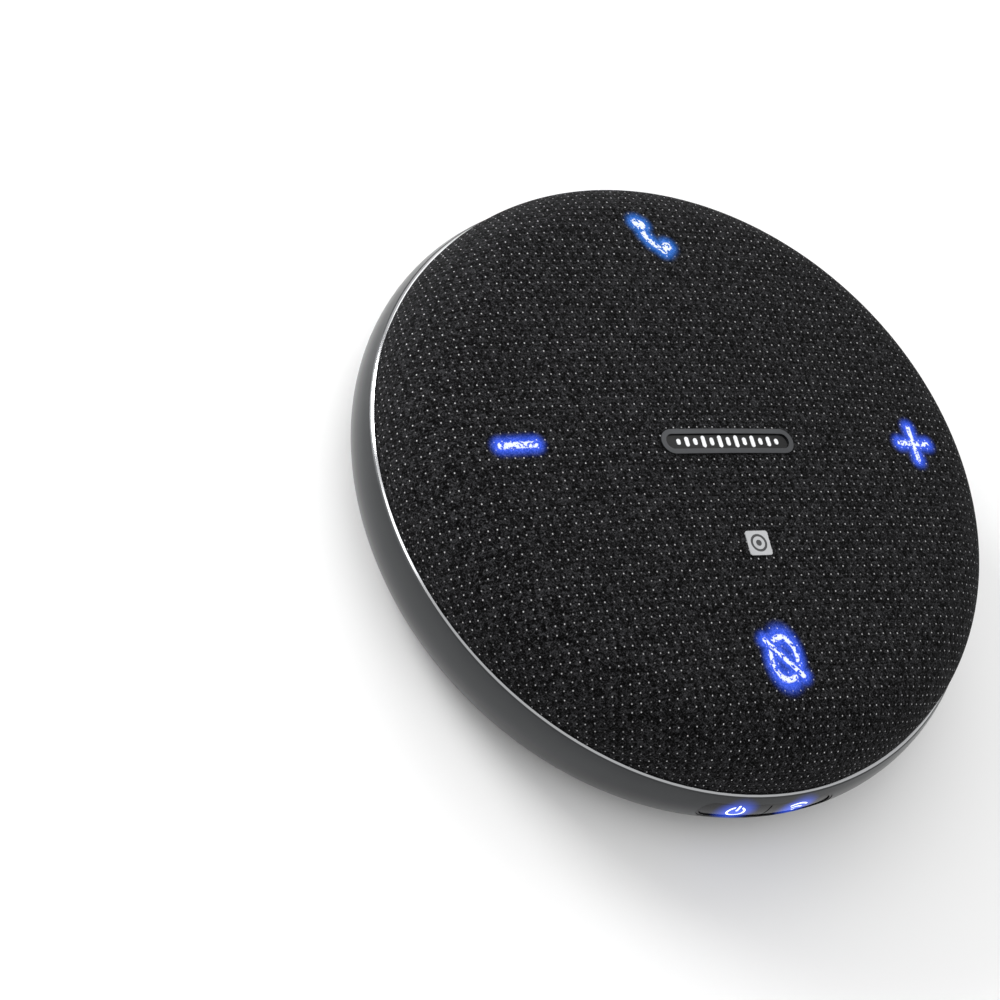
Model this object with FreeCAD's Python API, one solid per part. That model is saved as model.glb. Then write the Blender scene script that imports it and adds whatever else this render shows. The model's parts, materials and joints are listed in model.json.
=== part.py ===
import FreeCAD, Part
import math
import os

# Conference speakerphone lying on a table, in millimetres.
# Z is up and the origin is the centre of the foot's underside. The two side keys face -Y,
# volume up is towards +X and the charging socket is at +Y.

V = FreeCAD.Vector
UP = V(0, 0, 1)
ORIGIN = V(0, 0, 0)

# Overall form
band_radius = 65.0  # greatest radius of the side band
rim_z = 16.0  # height where the cloth meets the band
dome_rise = 16.75  # from the rim up to the crown
crown_radius = 450.0  # gentle curve across the crown
rim_inset = 1.8  # band's greatest radius to the cloth's edge
band_z = 2.8  # table up to the band's lower edge
widest_share = 0.379  # rim down to the band's greatest radius, as a share of the band's height
bulge_share = 0.833  # radius of the band's rounded side, as a share of its height
band_wall = 1.8
rim_land = 0.2  # flat top of the band inside its chamfer
rim_chamfer = 0.5

# Cloth and grille
cloth = 0.6
cloth_glue = 0.05
grille_wall = 1.5
rim_gap = 0.1  # cloth's edge to the band
sound_hole = 1.3  # radius
sound_pitch = 4.4
sound_first = 8.0  # innermost ring of holes
sound_reach = 26.0  # outermost ring of holes
grille_boss = 2.8

# Mid frame
frame_drop = 1.1  # rim down to the frame's upper face
frame_wall = 1.4
ledge_wall = 1.4
ledge_width = 2.2
fit_gap = 0.1  # between parts that drop into each other
clear = 0.4  # between parts that only pass each other

# Bottom cover and foot
foot_height = 0.9  # foot's underside to the cover's underside
foot_inset = 2.2  # cover's flat edge to the foot
foot_width = 9.0
foot_groove = 0.8
cover_floor = 2.0
cover_slope = 3.6  # how far the cover's edge draws in under the band
spigot_height = 3.2
spigot_wall = 1.6

# Screws: shank radius, head radius, head height
case_screw = (1.1, 2.0, 1.4)
case_screw_length = 9.0
case_boss = 3.1
small_screw = (0.8, 1.6, 1.1)
small_screw_length = 4.0
small_boss = 2.2
thread_gap = 0.02
head_gap = 0.3

# Driver
driver_radius = 31.2  # outside of the basket's flange
driver_flange = 1.2
driver_drop = 8.15  # crown down to the flange's underside
driver_gasket = 0.6
driver_screw_inset = 1.8  # flange's edge to its screws
surround_inset = 7.5  # flange's edge to the middle of the half roll
roll_radius = 1.45
skin = 0.35  # surround, spider and dust cap
cone_wall = 0.6
cone_depth = 6.2  # flange down to the cone's neck
coil_radius = 9.5  # inside of the coil former
former_wall = 0.3
winding_wall = 0.45
pole_radius = 9.1
gap_radius = 10.6  # inside of the top plate
magnet_inner = 11.6
magnet_radius = 17.6
top_plate_depth = 10.0  # flange down to the top plate's upper face
top_plate = 2.4
magnet_height = 4.6
yoke_plate = 2.2
steel_inset = 0.2  # magnet's edge to the top plate's; the yoke's plate is three of them in
vent_radius = 2.0
spider_depth = 7.2  # flange down to the spider
spider_radius = 19.2
basket_wall = 1.0
basket_inner = 13.0  # opening of the basket's floor
basket_window = (12.0, 9.0)
window_margin = 1.2  # above and below each window
former_tail = 1.3  # coil former below the top plate
winding_overhang = (0.6, 1.0)  # winding below and above the top plate
surround_land = 1.5  # flat glued edge of the surround
spider_waves = 3
spider_wave = 0.4
dust_cap_rise = 3.0
dust_cap_lip = 1.4  # coil former to the dust cap's edge

# Rear chamber
chamber_radius = 28.5
chamber_wall = 1.6
chamber_lip = 8.0
chamber_gasket_wall = 0.5
tower_wall = 1.8
shelf_width = 4.6  # under the driver's flange

# Touch board and lights
touch_board_rise = 6.0  # rim up to the board's underside
touch_board_wall = 1.0
touch_board_gap = 1.6  # driver's tower to the board
touch_board_edge = 11.1  # cloth's edge to the board's edge
volume_down_x = -43.4
volume_up_x = 44.4
call_y = 45.8
mute_y = -43.6
light_radius = 5.4
lamp_size = 3.2
lamp_height = 0.7
microphone_inset = 4.0  # board's edge to the microphones
microphone_size = (3.5, 2.65, 1.0)
microphone_port = 0.7
boot_radius = 3.0
touch_post_inset = 5.4  # board's inner edge to its posts

# Badge and tag
badge_length = 29.0
badge_width = 5.1
badge_y = -0.5
badge_rim = 1.0
badge_seat = 0.5  # bezel's lip over the cloth
badge_proud = 0.25
badge_depth = 2.3
badge_plate_depth = 1.4
badge_plate_sunk = 0.35
mark_height = 0.12
mark_bars = (1.2, 2.0, 1.4, 2.4, 1.6, 2.5, 1.8, 2.5, 1.6, 2.4, 1.4, 2.0, 1.2)
mark_pitch = 1.8
mark_width = 0.8
tag_size = 4.8
tag_y = -21.3
tag_wall = 0.15
antenna_size = 17.0
antenna_track = 3.0
antenna_wall = 0.2

# Side keys
key_length = 29.0  # opening in the band
key_height = 6.0
key_drop = 5.0  # rim down to the keys' middle
key_bezel_wall = 0.55
key_gap = 0.2
key_split = 0.3
key_sunk = 0.3
key_wall = 1.4
key_symbol_x = 6.7
key_travel = 0.5
symbol_radius = 1.85
symbol_stroke = 0.42
symbol_back = 0.45
symbol_margin = 0.2  # symbol's backing disc beyond its strokes
plunger_radius = 1.3
stem_radius = 0.9
stem_gap = 0.1
switch_size = (4.6, 1.8, 3.4)
switch_floor = 0.2
key_board_inset = 5.4  # band's greatest radius to the board's front face
key_board_wall = 0.8
key_board_length = 27.0
key_rib = (4.0, 3.0)  # ribs of the mid frame behind the key board
key_lamp = (1.6, 1.0, 0.8)
dome_wall = 0.1
snap_clear = 0.2  # stem's back end to the pressed snap dome
snap_rise = 0.15  # snap dome's height beyond the key's travel

# Main board and what it carries
board_standoff = 4.1  # cover's floor to the board
board_wall = 1.2
board_inner = 30.0
board_edge = 0.8  # spigot to the board's edge
board_from = -62.0  # degrees
board_to = 116.0
board_boss = 2.5
socket_size = (8.94, 7.35, 3.2)
socket_wall = 0.35
tongue_size = (6.54, 6.15, 0.7)
socket_mouth = 0.4  # socket's mouth to the band's inner face
port_length = 9.7
port_height = 3.9
can_size = (15.0, 12.0, 2.4)
can_wall = 0.25
can_ring = 45.0
can_angle = -20.0
plug_depth = 4.0
plug_width = 5.0
plug_height = 1.9

# Battery
battery_size = (20.0, 42.0, 7.6)
battery_round = 2.4
battery_gap = 0.9
pad_wall = 0.5

# Leads
lead_diameter = 1.6
key_lead_diameter = 1.2
link_width = 8.0
link_wall = 0.25
link_bend = 2.0
link_angle = 62.0
link_ring = 42.0

# Worked-out sizes
rim_radius = band_radius - rim_inset
key_board_y = key_board_inset - band_radius
band_height = rim_z - band_z
band_bulge = bulge_share * band_height
bulge_centre = band_radius - band_bulge
widest_z = rim_z - widest_share * band_height
crown_z = rim_z + dome_rise
frame_top = rim_z - frame_drop
frame_z = frame_top - frame_wall
ledge_z = frame_z - ledge_wall
cover_z = foot_height
floor_z = cover_z + cover_floor
grille_outer = cloth + cloth_glue
grille_inner = grille_outer + grille_wall
key_z = rim_z - key_drop
key_board_back = key_board_y + key_board_wall
switch_front = key_board_y - switch_size[1]
switch_back = key_board_y - switch_floor
stem_front = switch_front - key_travel - head_gap
stem_back = switch_back - key_travel - snap_clear


def band_at(z, inset=0.0):
    """Radius of the band's rounded side at a height."""
    return bulge_centre + math.sqrt((band_bulge - inset) ** 2 - (z - widest_z) ** 2)


band_inner_low = band_at(band_z, band_wall)
band_inner_top = band_at(frame_top, band_wall)
frame_radius = band_inner_top - fit_gap
ledge_radius = frame_radius - ledge_width
spigot_radius = band_inner_low - fit_gap
spigot_inner = spigot_radius - spigot_wall
spigot_top = band_z + spigot_height
cover_edge = band_at(band_z) - fit_gap
foot_edge = cover_edge - cover_slope
foot_radius = foot_edge - foot_inset
foot_inner = foot_radius - foot_width
case_screw_ring = foot_radius - foot_width / 2
board_z = floor_z + board_standoff
driver_seat_z = crown_z - driver_drop
driver_screw_ring = driver_radius - driver_screw_inset
surround_radius = driver_radius - surround_inset
cone_neck_z = driver_seat_z - cone_depth
spider_z = driver_seat_z - spider_depth
top_plate_z = driver_seat_z - top_plate_depth
chamber_flange_top = frame_z - chamber_gasket_wall
chamber_flange_radius = chamber_radius + chamber_lip
chamber_screw_ring = chamber_flange_radius - small_boss
tower_outer = driver_radius + tower_wall
shelf_z = driver_seat_z - driver_gasket
touch_board_z = rim_z + touch_board_rise
touch_board_radius = rim_radius - touch_board_edge
touch_board_inner = tower_outer + touch_board_gap
touch_post_ring = touch_board_inner + touch_post_inset
microphone_ring = touch_board_radius - microphone_inset
board_radius = spigot_inner - board_edge
board_top = board_z + board_wall
grille_screw_ring = touch_board_radius + fit_gap + clear + grille_boss
diagonals = [45.0, 135.0, 225.0, 315.0]
grille_screw_angles = [90.0 + 72.0 * n for n in range(5)]


# Helpers
def ring(inner, outer, low, high):
    tube = Part.makeCylinder(outer, high - low, V(0, 0, low))
    if inner > 0:
        tube = tube.cut(Part.makeCylinder(inner, high - low, V(0, 0, low)))
    return tube


def post(x, y, radius, low, high):
    return Part.makeCylinder(radius, high - low, V(x, y, low))


def block(size, centre, low):
    corner = V(centre[0] - size[0] / 2, centre[1] - size[1] / 2, low)
    return Part.makeBox(size[0], size[1], size[2], corner)


def polar(radius, angle):
    turn = math.radians(angle)
    return radius * math.cos(turn), radius * math.sin(turn)


def turned(edges):
    """A solid of revolution round Z from a closed outline of edges in the XZ plane."""
    return Part.Face(Part.Wire(edges)).revolve(ORIGIN, UP, 360)


def turned_points(points):
    corners = [V(r, 0, z) for r, z in points]
    return turned(Part.makePolygon(corners + [corners[0]]).Edges)


def line(a, b):
    return Part.LineSegment(V(a[0], 0, a[1]), V(b[0], 0, b[1])).toShape()


def arc(a, middle, b):
    points = [V(p[0], 0, p[1]) for p in (a, middle, b)]
    return Part.Arc(*points).toShape()


def joined(pieces):
    whole = pieces[0]
    for piece in pieces[1:]:
        whole = whole.fuse(piece)
    return whole.removeSplitter()


def cut_all(shape, tools):
    return shape.cut(Part.makeCompound(tools))


def group(solids):
    return Part.makeCompound(solids)


def capsule(length, height):
    """Stadium face in the XY plane, centred on the origin, long in X."""
    half = height / 2
    reach = length / 2 - half
    edges = [
        Part.LineSegment(V(-reach, -half, 0), V(reach, -half, 0)).toShape(),
        Part.Arc(V(reach, -half, 0), V(reach + half, 0, 0), V(reach, half, 0)).toShape(),
        Part.LineSegment(V(reach, half, 0), V(-reach, half, 0)).toShape(),
        Part.Arc(V(-reach, half, 0), V(-reach - half, 0, 0), V(-reach, -half, 0)).toShape(),
    ]
    return Part.Face(Part.Wire(edges))


def upright_capsule(length, height, y, low, high):
    face = capsule(length, height)
    face.translate(V(0, y, low))
    return face.extrude(V(0, 0, high - low))


def facing(face, x, z, near, far):
    """Extrudes an XY face along +Y, its own Y turned up to Z, from y = near to y = far."""
    turned_face = face.copy()
    turned_face.rotate(ORIGIN, V(1, 0, 0), 90)
    turned_face.translate(V(x, near, z))
    return turned_face.extrude(V(0, far - near, 0))


def screw(x, y, sizes, length, head_z, point_up):
    """A screw whose head stands on head_z and whose shank runs up or down from there."""
    shank, head, height = sizes
    if point_up:
        parts = [post(x, y, head, head_z - height, head_z), post(x, y, shank, head_z, head_z + length)]
    else:
        parts = [post(x, y, head, head_z, head_z + height), post(x, y, shank, head_z - length, head_z)]
    body = joined(parts)
    slot_low = head_z - height if point_up else head_z + height / 2
    slot = post(x, y, shank / 2, slot_low, slot_low + height / 2)
    return body.cut(slot)


# Dome surfaces
def dome(inset, low):
    """Everything under the cloth's outer surface, brought in by inset, down to a height."""
    rise = dome_rise
    edge = (crown_radius**2 - (crown_radius - rise) ** 2 - rim_radius**2) / (2 * (crown_radius - rim_radius))
    edge_centre = rim_radius - edge
    crown_centre = crown_z - crown_radius
    reach = math.hypot(edge_centre, rim_z - crown_centre)
    tilt = math.atan2(edge_centre, rim_z - crown_centre)
    big = crown_radius - inset
    small = edge - inset

    def on_crown(angle):
        return big * math.sin(angle), crown_centre + big * math.cos(angle)

    def on_edge(angle):
        return edge_centre + small * math.sin(angle), rim_z + small * math.cos(angle)

    assert abs(reach - (crown_radius - edge)) < 0.001
    top = (0.0, crown_z - inset)
    wall = edge_centre + small
    edges = [
        line((0.0, low), (wall, low)),
        line((wall, low), (wall, rim_z)),
        arc((wall, rim_z), on_edge((tilt + math.pi / 2) / 2), on_edge(tilt)),
        arc(on_edge(tilt), on_crown(tilt / 2), top),
        line(top, (0.0, low)),
    ]
    return turned(edges)


under_cloth = dome(cloth, floor_z)
outer_dome = dome(0.0, floor_z)
grille_top = dome(grille_outer, frame_top)
grille_under = dome(grille_inner, floor_z)

lights = {
    "volume_down": (volume_down_x, 0.0),
    "volume_up": (volume_up_x, 0.0),
    "call": (0.0, call_y),
    "mute": (0.0, mute_y),
}
microphones_at = [polar(microphone_ring, a) for a in diagonals]
badge_seat_length = badge_length - 2 * badge_seat
badge_seat_width = badge_width - 2 * badge_seat
badge_floor = crown_z - badge_depth


# Cloth and grille
def badge_capsule(growth, low):
    """The badge's seat, grown by an amount, from a height up to above the crown."""
    length = badge_seat_length + growth
    width = badge_seat_width + growth
    return upright_capsule(length, width, badge_y, low, crown_z + 1)


def make_fabric_cover():
    shell = dome(0.0, frame_top).cut(dome(cloth, frame_top))
    return shell.cut(badge_capsule(fit_gap, floor_z))


def clear_of_badge(x, y):
    badge_reach = badge_length / 2 + sound_pitch
    near_badge = abs(x) < badge_reach and abs(y - badge_y) < badge_width / 2 + 2 * sound_hole
    near_antenna = max(abs(x), abs(y - tag_y)) < antenna_size / 2 + sound_hole
    return not near_badge and not near_antenna


def make_top_grille():
    shell = grille_top.cut(grille_under)
    bosses = [badge_capsule(2 * grille_wall, badge_floor - 1)]
    for angle in grille_screw_angles:
        bosses.append(post(*polar(grille_screw_ring, angle), grille_boss, frame_top, crown_z))
    whole = joined([shell, Part.makeCompound(bosses).common(grille_top)])
    tools = [badge_capsule(fit_gap, badge_floor)]
    radius = sound_first
    while radius <= sound_reach:
        count = int(2 * math.pi * radius / sound_pitch)
        for n in range(count):
            x, y = polar(radius, 360.0 * n / count)
            if clear_of_badge(x, y):
                tools.append(post(x, y, sound_hole, shelf_z, crown_z))
        radius += sound_pitch
    for x, y in lights.values():
        tools.append(post(x, y, light_radius + head_gap, frame_top, crown_z))
    for x, y in microphones_at:
        tools.append(post(x, y, microphone_port, frame_top, crown_z))
    for angle in grille_screw_angles:
        x, y = polar(grille_screw_ring, angle)
        tools.append(post(x, y, small_screw[0] + thread_gap, frame_top, frame_top + small_screw_length))
    return cut_all(whole, tools)


def make_badge():
    lip_top = dome(-badge_proud, floor_z)
    lip = badge_capsule(2 * badge_seat, badge_floor).common(lip_top).cut(outer_dome)
    body = badge_capsule(0, badge_floor).common(lip_top)
    inner_length = badge_length - 2 * badge_rim
    inner_width = badge_width - 2 * badge_rim
    plate_floor = crown_z - badge_plate_depth
    well = upright_capsule(inner_length, inner_width, badge_y, plate_floor, crown_z + 1)
    bezel = joined([lip, body]).cut(well)
    plate_top = dome(badge_plate_sunk - badge_proud, floor_z)
    plate = upright_capsule(
        inner_length - fit_gap, inner_width - fit_gap, badge_y, plate_floor, crown_z + 1
    ).common(plate_top)
    mark_top = dome(badge_plate_sunk - badge_proud - mark_height, floor_z)
    bars = []
    for n, height in enumerate(mark_bars):
        x = (n - (len(mark_bars) - 1) / 2) * mark_pitch
        bar = upright_capsule(height, mark_width, 0, plate_floor, crown_z + 1)
        bar.rotate(ORIGIN, UP, 90)
        bar.translate(V(x, badge_y, 0))
        bars.append(bar.common(mark_top).cut(plate_top))
    return bezel, plate, group([solid for bar in bars for solid in bar.Solids])


def make_tag_mark():
    square = block((tag_size, tag_size, crown_z), (0, tag_y), floor_z)
    square = square.makeFillet(tag_size / 10, [e for e in square.Edges if abs(e.tangentAt(0).z) > 0.9])
    return square.common(dome(-tag_wall, floor_z)).cut(outer_dome)


def make_contactless_antenna():
    inner = antenna_size - 2 * antenna_track
    frame = block((antenna_size, antenna_size, crown_z), (0, tag_y), floor_z)
    frame = frame.cut(block((inner, inner, crown_z), (0, tag_y), floor_z))
    return frame.common(grille_under).cut(dome(grille_inner + antenna_wall, floor_z))


# Band and keys
def band_shell(outer_inset, inner_inset, low, high):
    """A slice of the band's rounded side between two insets and two heights."""
    heights = (low, (low + high) / 2, high)
    outer = [(band_at(z, outer_inset), z) for z in heights]
    inner = [(band_at(z, inner_inset), z) for z in heights]
    edges = [
        arc(*outer),
        line(outer[2], inner[2]),
        arc(*reversed(inner)),
        line(inner[0], outer[0]),
    ]
    return turned(edges)


key_front = -band_radius - 1
key_behind = -band_radius + 3 * band_wall
key_opening = facing(capsule(key_length, key_height), 0, key_z, key_front, key_behind)
key_notch = Part.makeBox(
    key_length + 2 * clear,
    band_radius - grille_screw_ring,
    frame_top - ledge_z,
    V(-key_length / 2 - clear, -band_radius, ledge_z),
)


def make_side_band():
    top = frame_top
    step = rim_radius + rim_gap
    chamfer_z = rim_z - rim_chamfer
    middle = (band_z + chamfer_z) / 2
    ledge_mid = (frame_z + top) / 2
    low_mid = (band_z + ledge_z) / 2
    edges = [
        arc((band_at(band_z), band_z), (band_at(middle), middle), (band_at(chamfer_z), chamfer_z)),
        line((band_at(chamfer_z), chamfer_z), (step + rim_land, rim_z)),
        line((step + rim_land, rim_z), (step, rim_z)),
        line((step, rim_z), (step, top)),
        line((step, top), (band_at(top, band_wall), top)),
        arc(
            (band_at(top, band_wall), top),
            (band_at(ledge_mid, band_wall), ledge_mid),
            (band_at(frame_z, band_wall), frame_z),
        ),
        line((band_at(frame_z, band_wall), frame_z), (ledge_radius, frame_z)),
        line((ledge_radius, frame_z), (ledge_radius, ledge_z)),
        line((ledge_radius, ledge_z), (band_at(ledge_z, band_wall), ledge_z)),
        arc(
            (band_at(ledge_z, band_wall), ledge_z),
            (band_at(low_mid, band_wall), low_mid),
            (band_inner_low, band_z),
        ),
        line((band_inner_low, band_z), (band_at(band_z), band_z)),
    ]
    band = turned(edges)
    wall = band_shell(-1.0, band_wall, key_z - key_height, frame_top)
    port = facing(capsule(port_length, port_height), 0, socket_z, bulge_centre, band_radius + 1)
    return cut_all(band, [key_opening, key_notch.cut(wall), port])


def key_symbols():
    """Outlines of the two lit symbols as faces in the XY plane: power, and radio waves."""
    stroke = symbol_stroke
    circle = Part.makeCylinder(symbol_radius, 1).cut(Part.makeCylinder(symbol_radius - stroke, 1))
    gap = Part.makeBox(1.7 * stroke * 2, symbol_radius * 2, 1, V(-1.7 * stroke, 0, 0))
    bar = Part.makeBox(stroke, symbol_radius * 1.15, 1, V(-stroke / 2, 0.15 * symbol_radius, 0))
    power = [circle.cut(gap), bar]
    waves = [Part.makeCylinder(stroke * 0.9, 1, V(0, -symbol_radius * 0.8, 0))]
    wedge = Part.Face(
        Part.makePolygon([V(0, -symbol_radius, 0), V(3, 2.4, 0), V(-3, 2.4, 0), V(0, -symbol_radius, 0)])
    ).extrude(UP)
    for n in range(2):
        outer = symbol_radius * (1.05 + 0.65 * n)
        arch = Part.makeCylinder(outer, 1, V(0, -symbol_radius * 0.8, 0))
        arch = arch.cut(Part.makeCylinder(outer - stroke, 1, V(0, -symbol_radius * 0.8, 0)))
        waves.append(arch.common(wedge))
    return group(power), group(waves)


def as_key_prism(flat, x, near, far):
    """Stands a 1 mm thick flat shape up so that it faces -Y, stretched from near to far."""
    faces = [f for f in flat.Faces if abs(f.CenterOfMass.z) < 1e-6]
    return group([facing(f, x, key_z, near, far) for f in faces])


def make_keys():
    hole_length = key_length - 2 * key_bezel_wall
    hole_height = key_height - 2 * key_bezel_wall
    free = capsule(hole_length - 2 * key_gap, hole_height - 2 * key_gap)
    frame = facing(capsule(key_length - fit_gap, key_height - fit_gap), 0, key_z, key_front, key_behind)
    hole = facing(capsule(hole_length, hole_height), 0, key_z, key_front, key_behind)
    low = key_z - key_height
    high = frame_top
    bezel = frame.cut(hole).common(band_shell(key_sunk / 3, band_wall, low, high))
    caps = facing(free, 0, key_z, key_front, key_behind)
    slab = caps.common(band_shell(key_sunk, key_sunk + key_wall, low, high))
    face_zone = band_shell(key_sunk, band_wall + key_wall, low, high)
    keys = []
    icons = []
    for side, flat in zip((-1, 1), key_symbols()):
        x = side * key_symbol_x
        start = key_split / 2 if side > 0 else -key_length
        side_box = Part.makeBox(
            key_length - key_split / 2, 2 * band_radius, rim_z, V(start, -2 * band_radius, 0)
        )
        half = slab.common(side_box)
        back = -math.sqrt(band_at(key_z, key_sunk + key_wall) ** 2 - x**2)
        strokes = as_key_prism(flat, x, key_front, back).common(face_zone)
        disc = Part.Face(Part.Wire(Part.makeCircle(symbol_radius + symbol_margin)))
        plate = facing(disc, x, key_z, back - symbol_back, back)
        plunger = Part.Face(Part.Wire(Part.makeCircle(plunger_radius)))
        icon = joined([plate] + strokes.Solids + [facing(plunger, x, key_z, back, stem_front)])
        icons.append(icon)
        keys.append(half.cut(icon))
    return bezel, keys, icons


# Key board


def make_switches():
    housings = []
    stems = []
    domes = []
    for side in (-1, 1):
        x = side * key_symbol_x
        body = Part.makeBox(
            switch_size[0],
            switch_size[1],
            switch_size[2],
            V(x - switch_size[0] / 2, switch_front, key_z - switch_size[2] / 2),
        )
        bore = Part.Face(Part.Wire(Part.makeCircle(stem_radius + stem_gap)))
        housings.append(body.cut(facing(bore, x, key_z, switch_front - 1, switch_back)))
        stem = Part.Face(Part.Wire(Part.makeCircle(stem_radius)))
        stems.append(facing(stem, x, key_z, stem_front, stem_back))
        rise = key_travel + snap_rise
        reach = stem_radius - stem_gap
        ball = (reach**2 + rise**2) / (2 * rise)
        centre = V(x, switch_back - rise + ball, key_z)
        cap = Part.makeSphere(ball, centre).cut(Part.makeSphere(ball - dome_wall, centre))
        window = Part.makeBox(2 * ball, rise, 2 * ball, V(x - ball, switch_back - rise, key_z - ball))
        domes.append(cap.common(window))
    return housings, stems, domes


def make_key_board():
    low = board_z
    high = ledge_z + ledge_wall - clear
    board = Part.makeBox(
        key_board_length, key_board_wall, high - low, V(-key_board_length / 2, key_board_y, low)
    )
    lamps = []
    for side in (-1, 1):
        x = side * (key_symbol_x + switch_size[0] / 2 + key_lamp[0])
        corner = V(x - key_lamp[0] / 2, key_board_y - key_lamp[1], key_z - key_lamp[2] / 2)
        lamps.append(Part.makeBox(*key_lamp, corner))
    return board, group(lamps)


# Mid frame


def make_mid_frame():
    plate = ring(chamber_radius - chamber_wall, frame_radius, frame_z, frame_top)
    tower = ring(driver_radius, tower_outer, frame_z, shelf_z)
    shelf = ring(driver_radius - shelf_width, tower_outer, shelf_z - tower_wall, shelf_z)
    parts = [plate, tower, shelf]
    for angle in diagonals:
        parts.append(post(*polar(case_screw_ring, angle), case_boss, spigot_top, frame_z))
        boss_high = frame_top + small_screw_length
        parts.append(post(*polar(chamber_screw_ring, angle), small_boss, frame_z, boss_high))
        parts.append(post(*polar(touch_post_ring, angle), small_boss, frame_z, touch_board_z))
        boss_low = shelf_z - small_screw_length
        parts.append(post(*polar(driver_screw_ring, angle), small_boss, boss_low, shelf_z))
    wide, deep = key_rib
    for side in (-1, 1):
        x = side * (key_board_length - wide) / 2
        corner = V(x - wide / 2, key_board_back, board_top)
        parts.append(Part.makeBox(wide, deep, frame_z - board_top, corner))
    whole = joined(parts)
    tools = []
    pilot = small_screw[0] + thread_gap
    for angle in diagonals:
        x, y = polar(case_screw_ring, angle)
        tools.append(post(x, y, case_screw[0] + thread_gap, floor_z, frame_z))
        x, y = polar(chamber_screw_ring, angle)
        tools.append(post(x, y, pilot, frame_z - 1, frame_top + small_screw_length - 1))
        x, y = polar(touch_post_ring, angle)
        tools.append(post(x, y, pilot, touch_board_z - small_screw_length, touch_board_z + 1))
        x, y = polar(driver_screw_ring, angle)
        tools.append(post(x, y, pilot, shelf_z - small_screw_length - 1, shelf_z + 1))
    for angle in grille_screw_angles:
        x, y = polar(grille_screw_ring, angle)
        tools.append(post(x, y, small_screw[0] + thread_gap, frame_z - 1, frame_top + 1))
    slot_size = (2 * link_bend + 1, link_width + 1, 3 * frame_wall)
    slot = block(slot_size, (link_ring + link_bend, 0), frame_z - frame_wall)
    slot.rotate(ORIGIN, UP, link_angle)
    tools.append(slot)
    lead_hole = lead_diameter / 2 + clear
    tools.append(post(speaker_lead_x, speaker_lead_y, lead_hole, frame_z - 1, frame_top + 1))
    gland_from = V(driver_radius - tower_wall, speaker_lead_y, speaker_lead_z)
    tools.append(Part.makeCylinder(lead_diameter / 2 + fit_gap, 3 * tower_wall, gland_from, V(1, 0, 0)))
    tools.append(key_notch)
    return cut_all(whole, tools)


def small_screws(radius, angles, head_z, point_up, length):
    return [screw(*polar(radius, a), small_screw, length, head_z, point_up) for a in angles]


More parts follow.
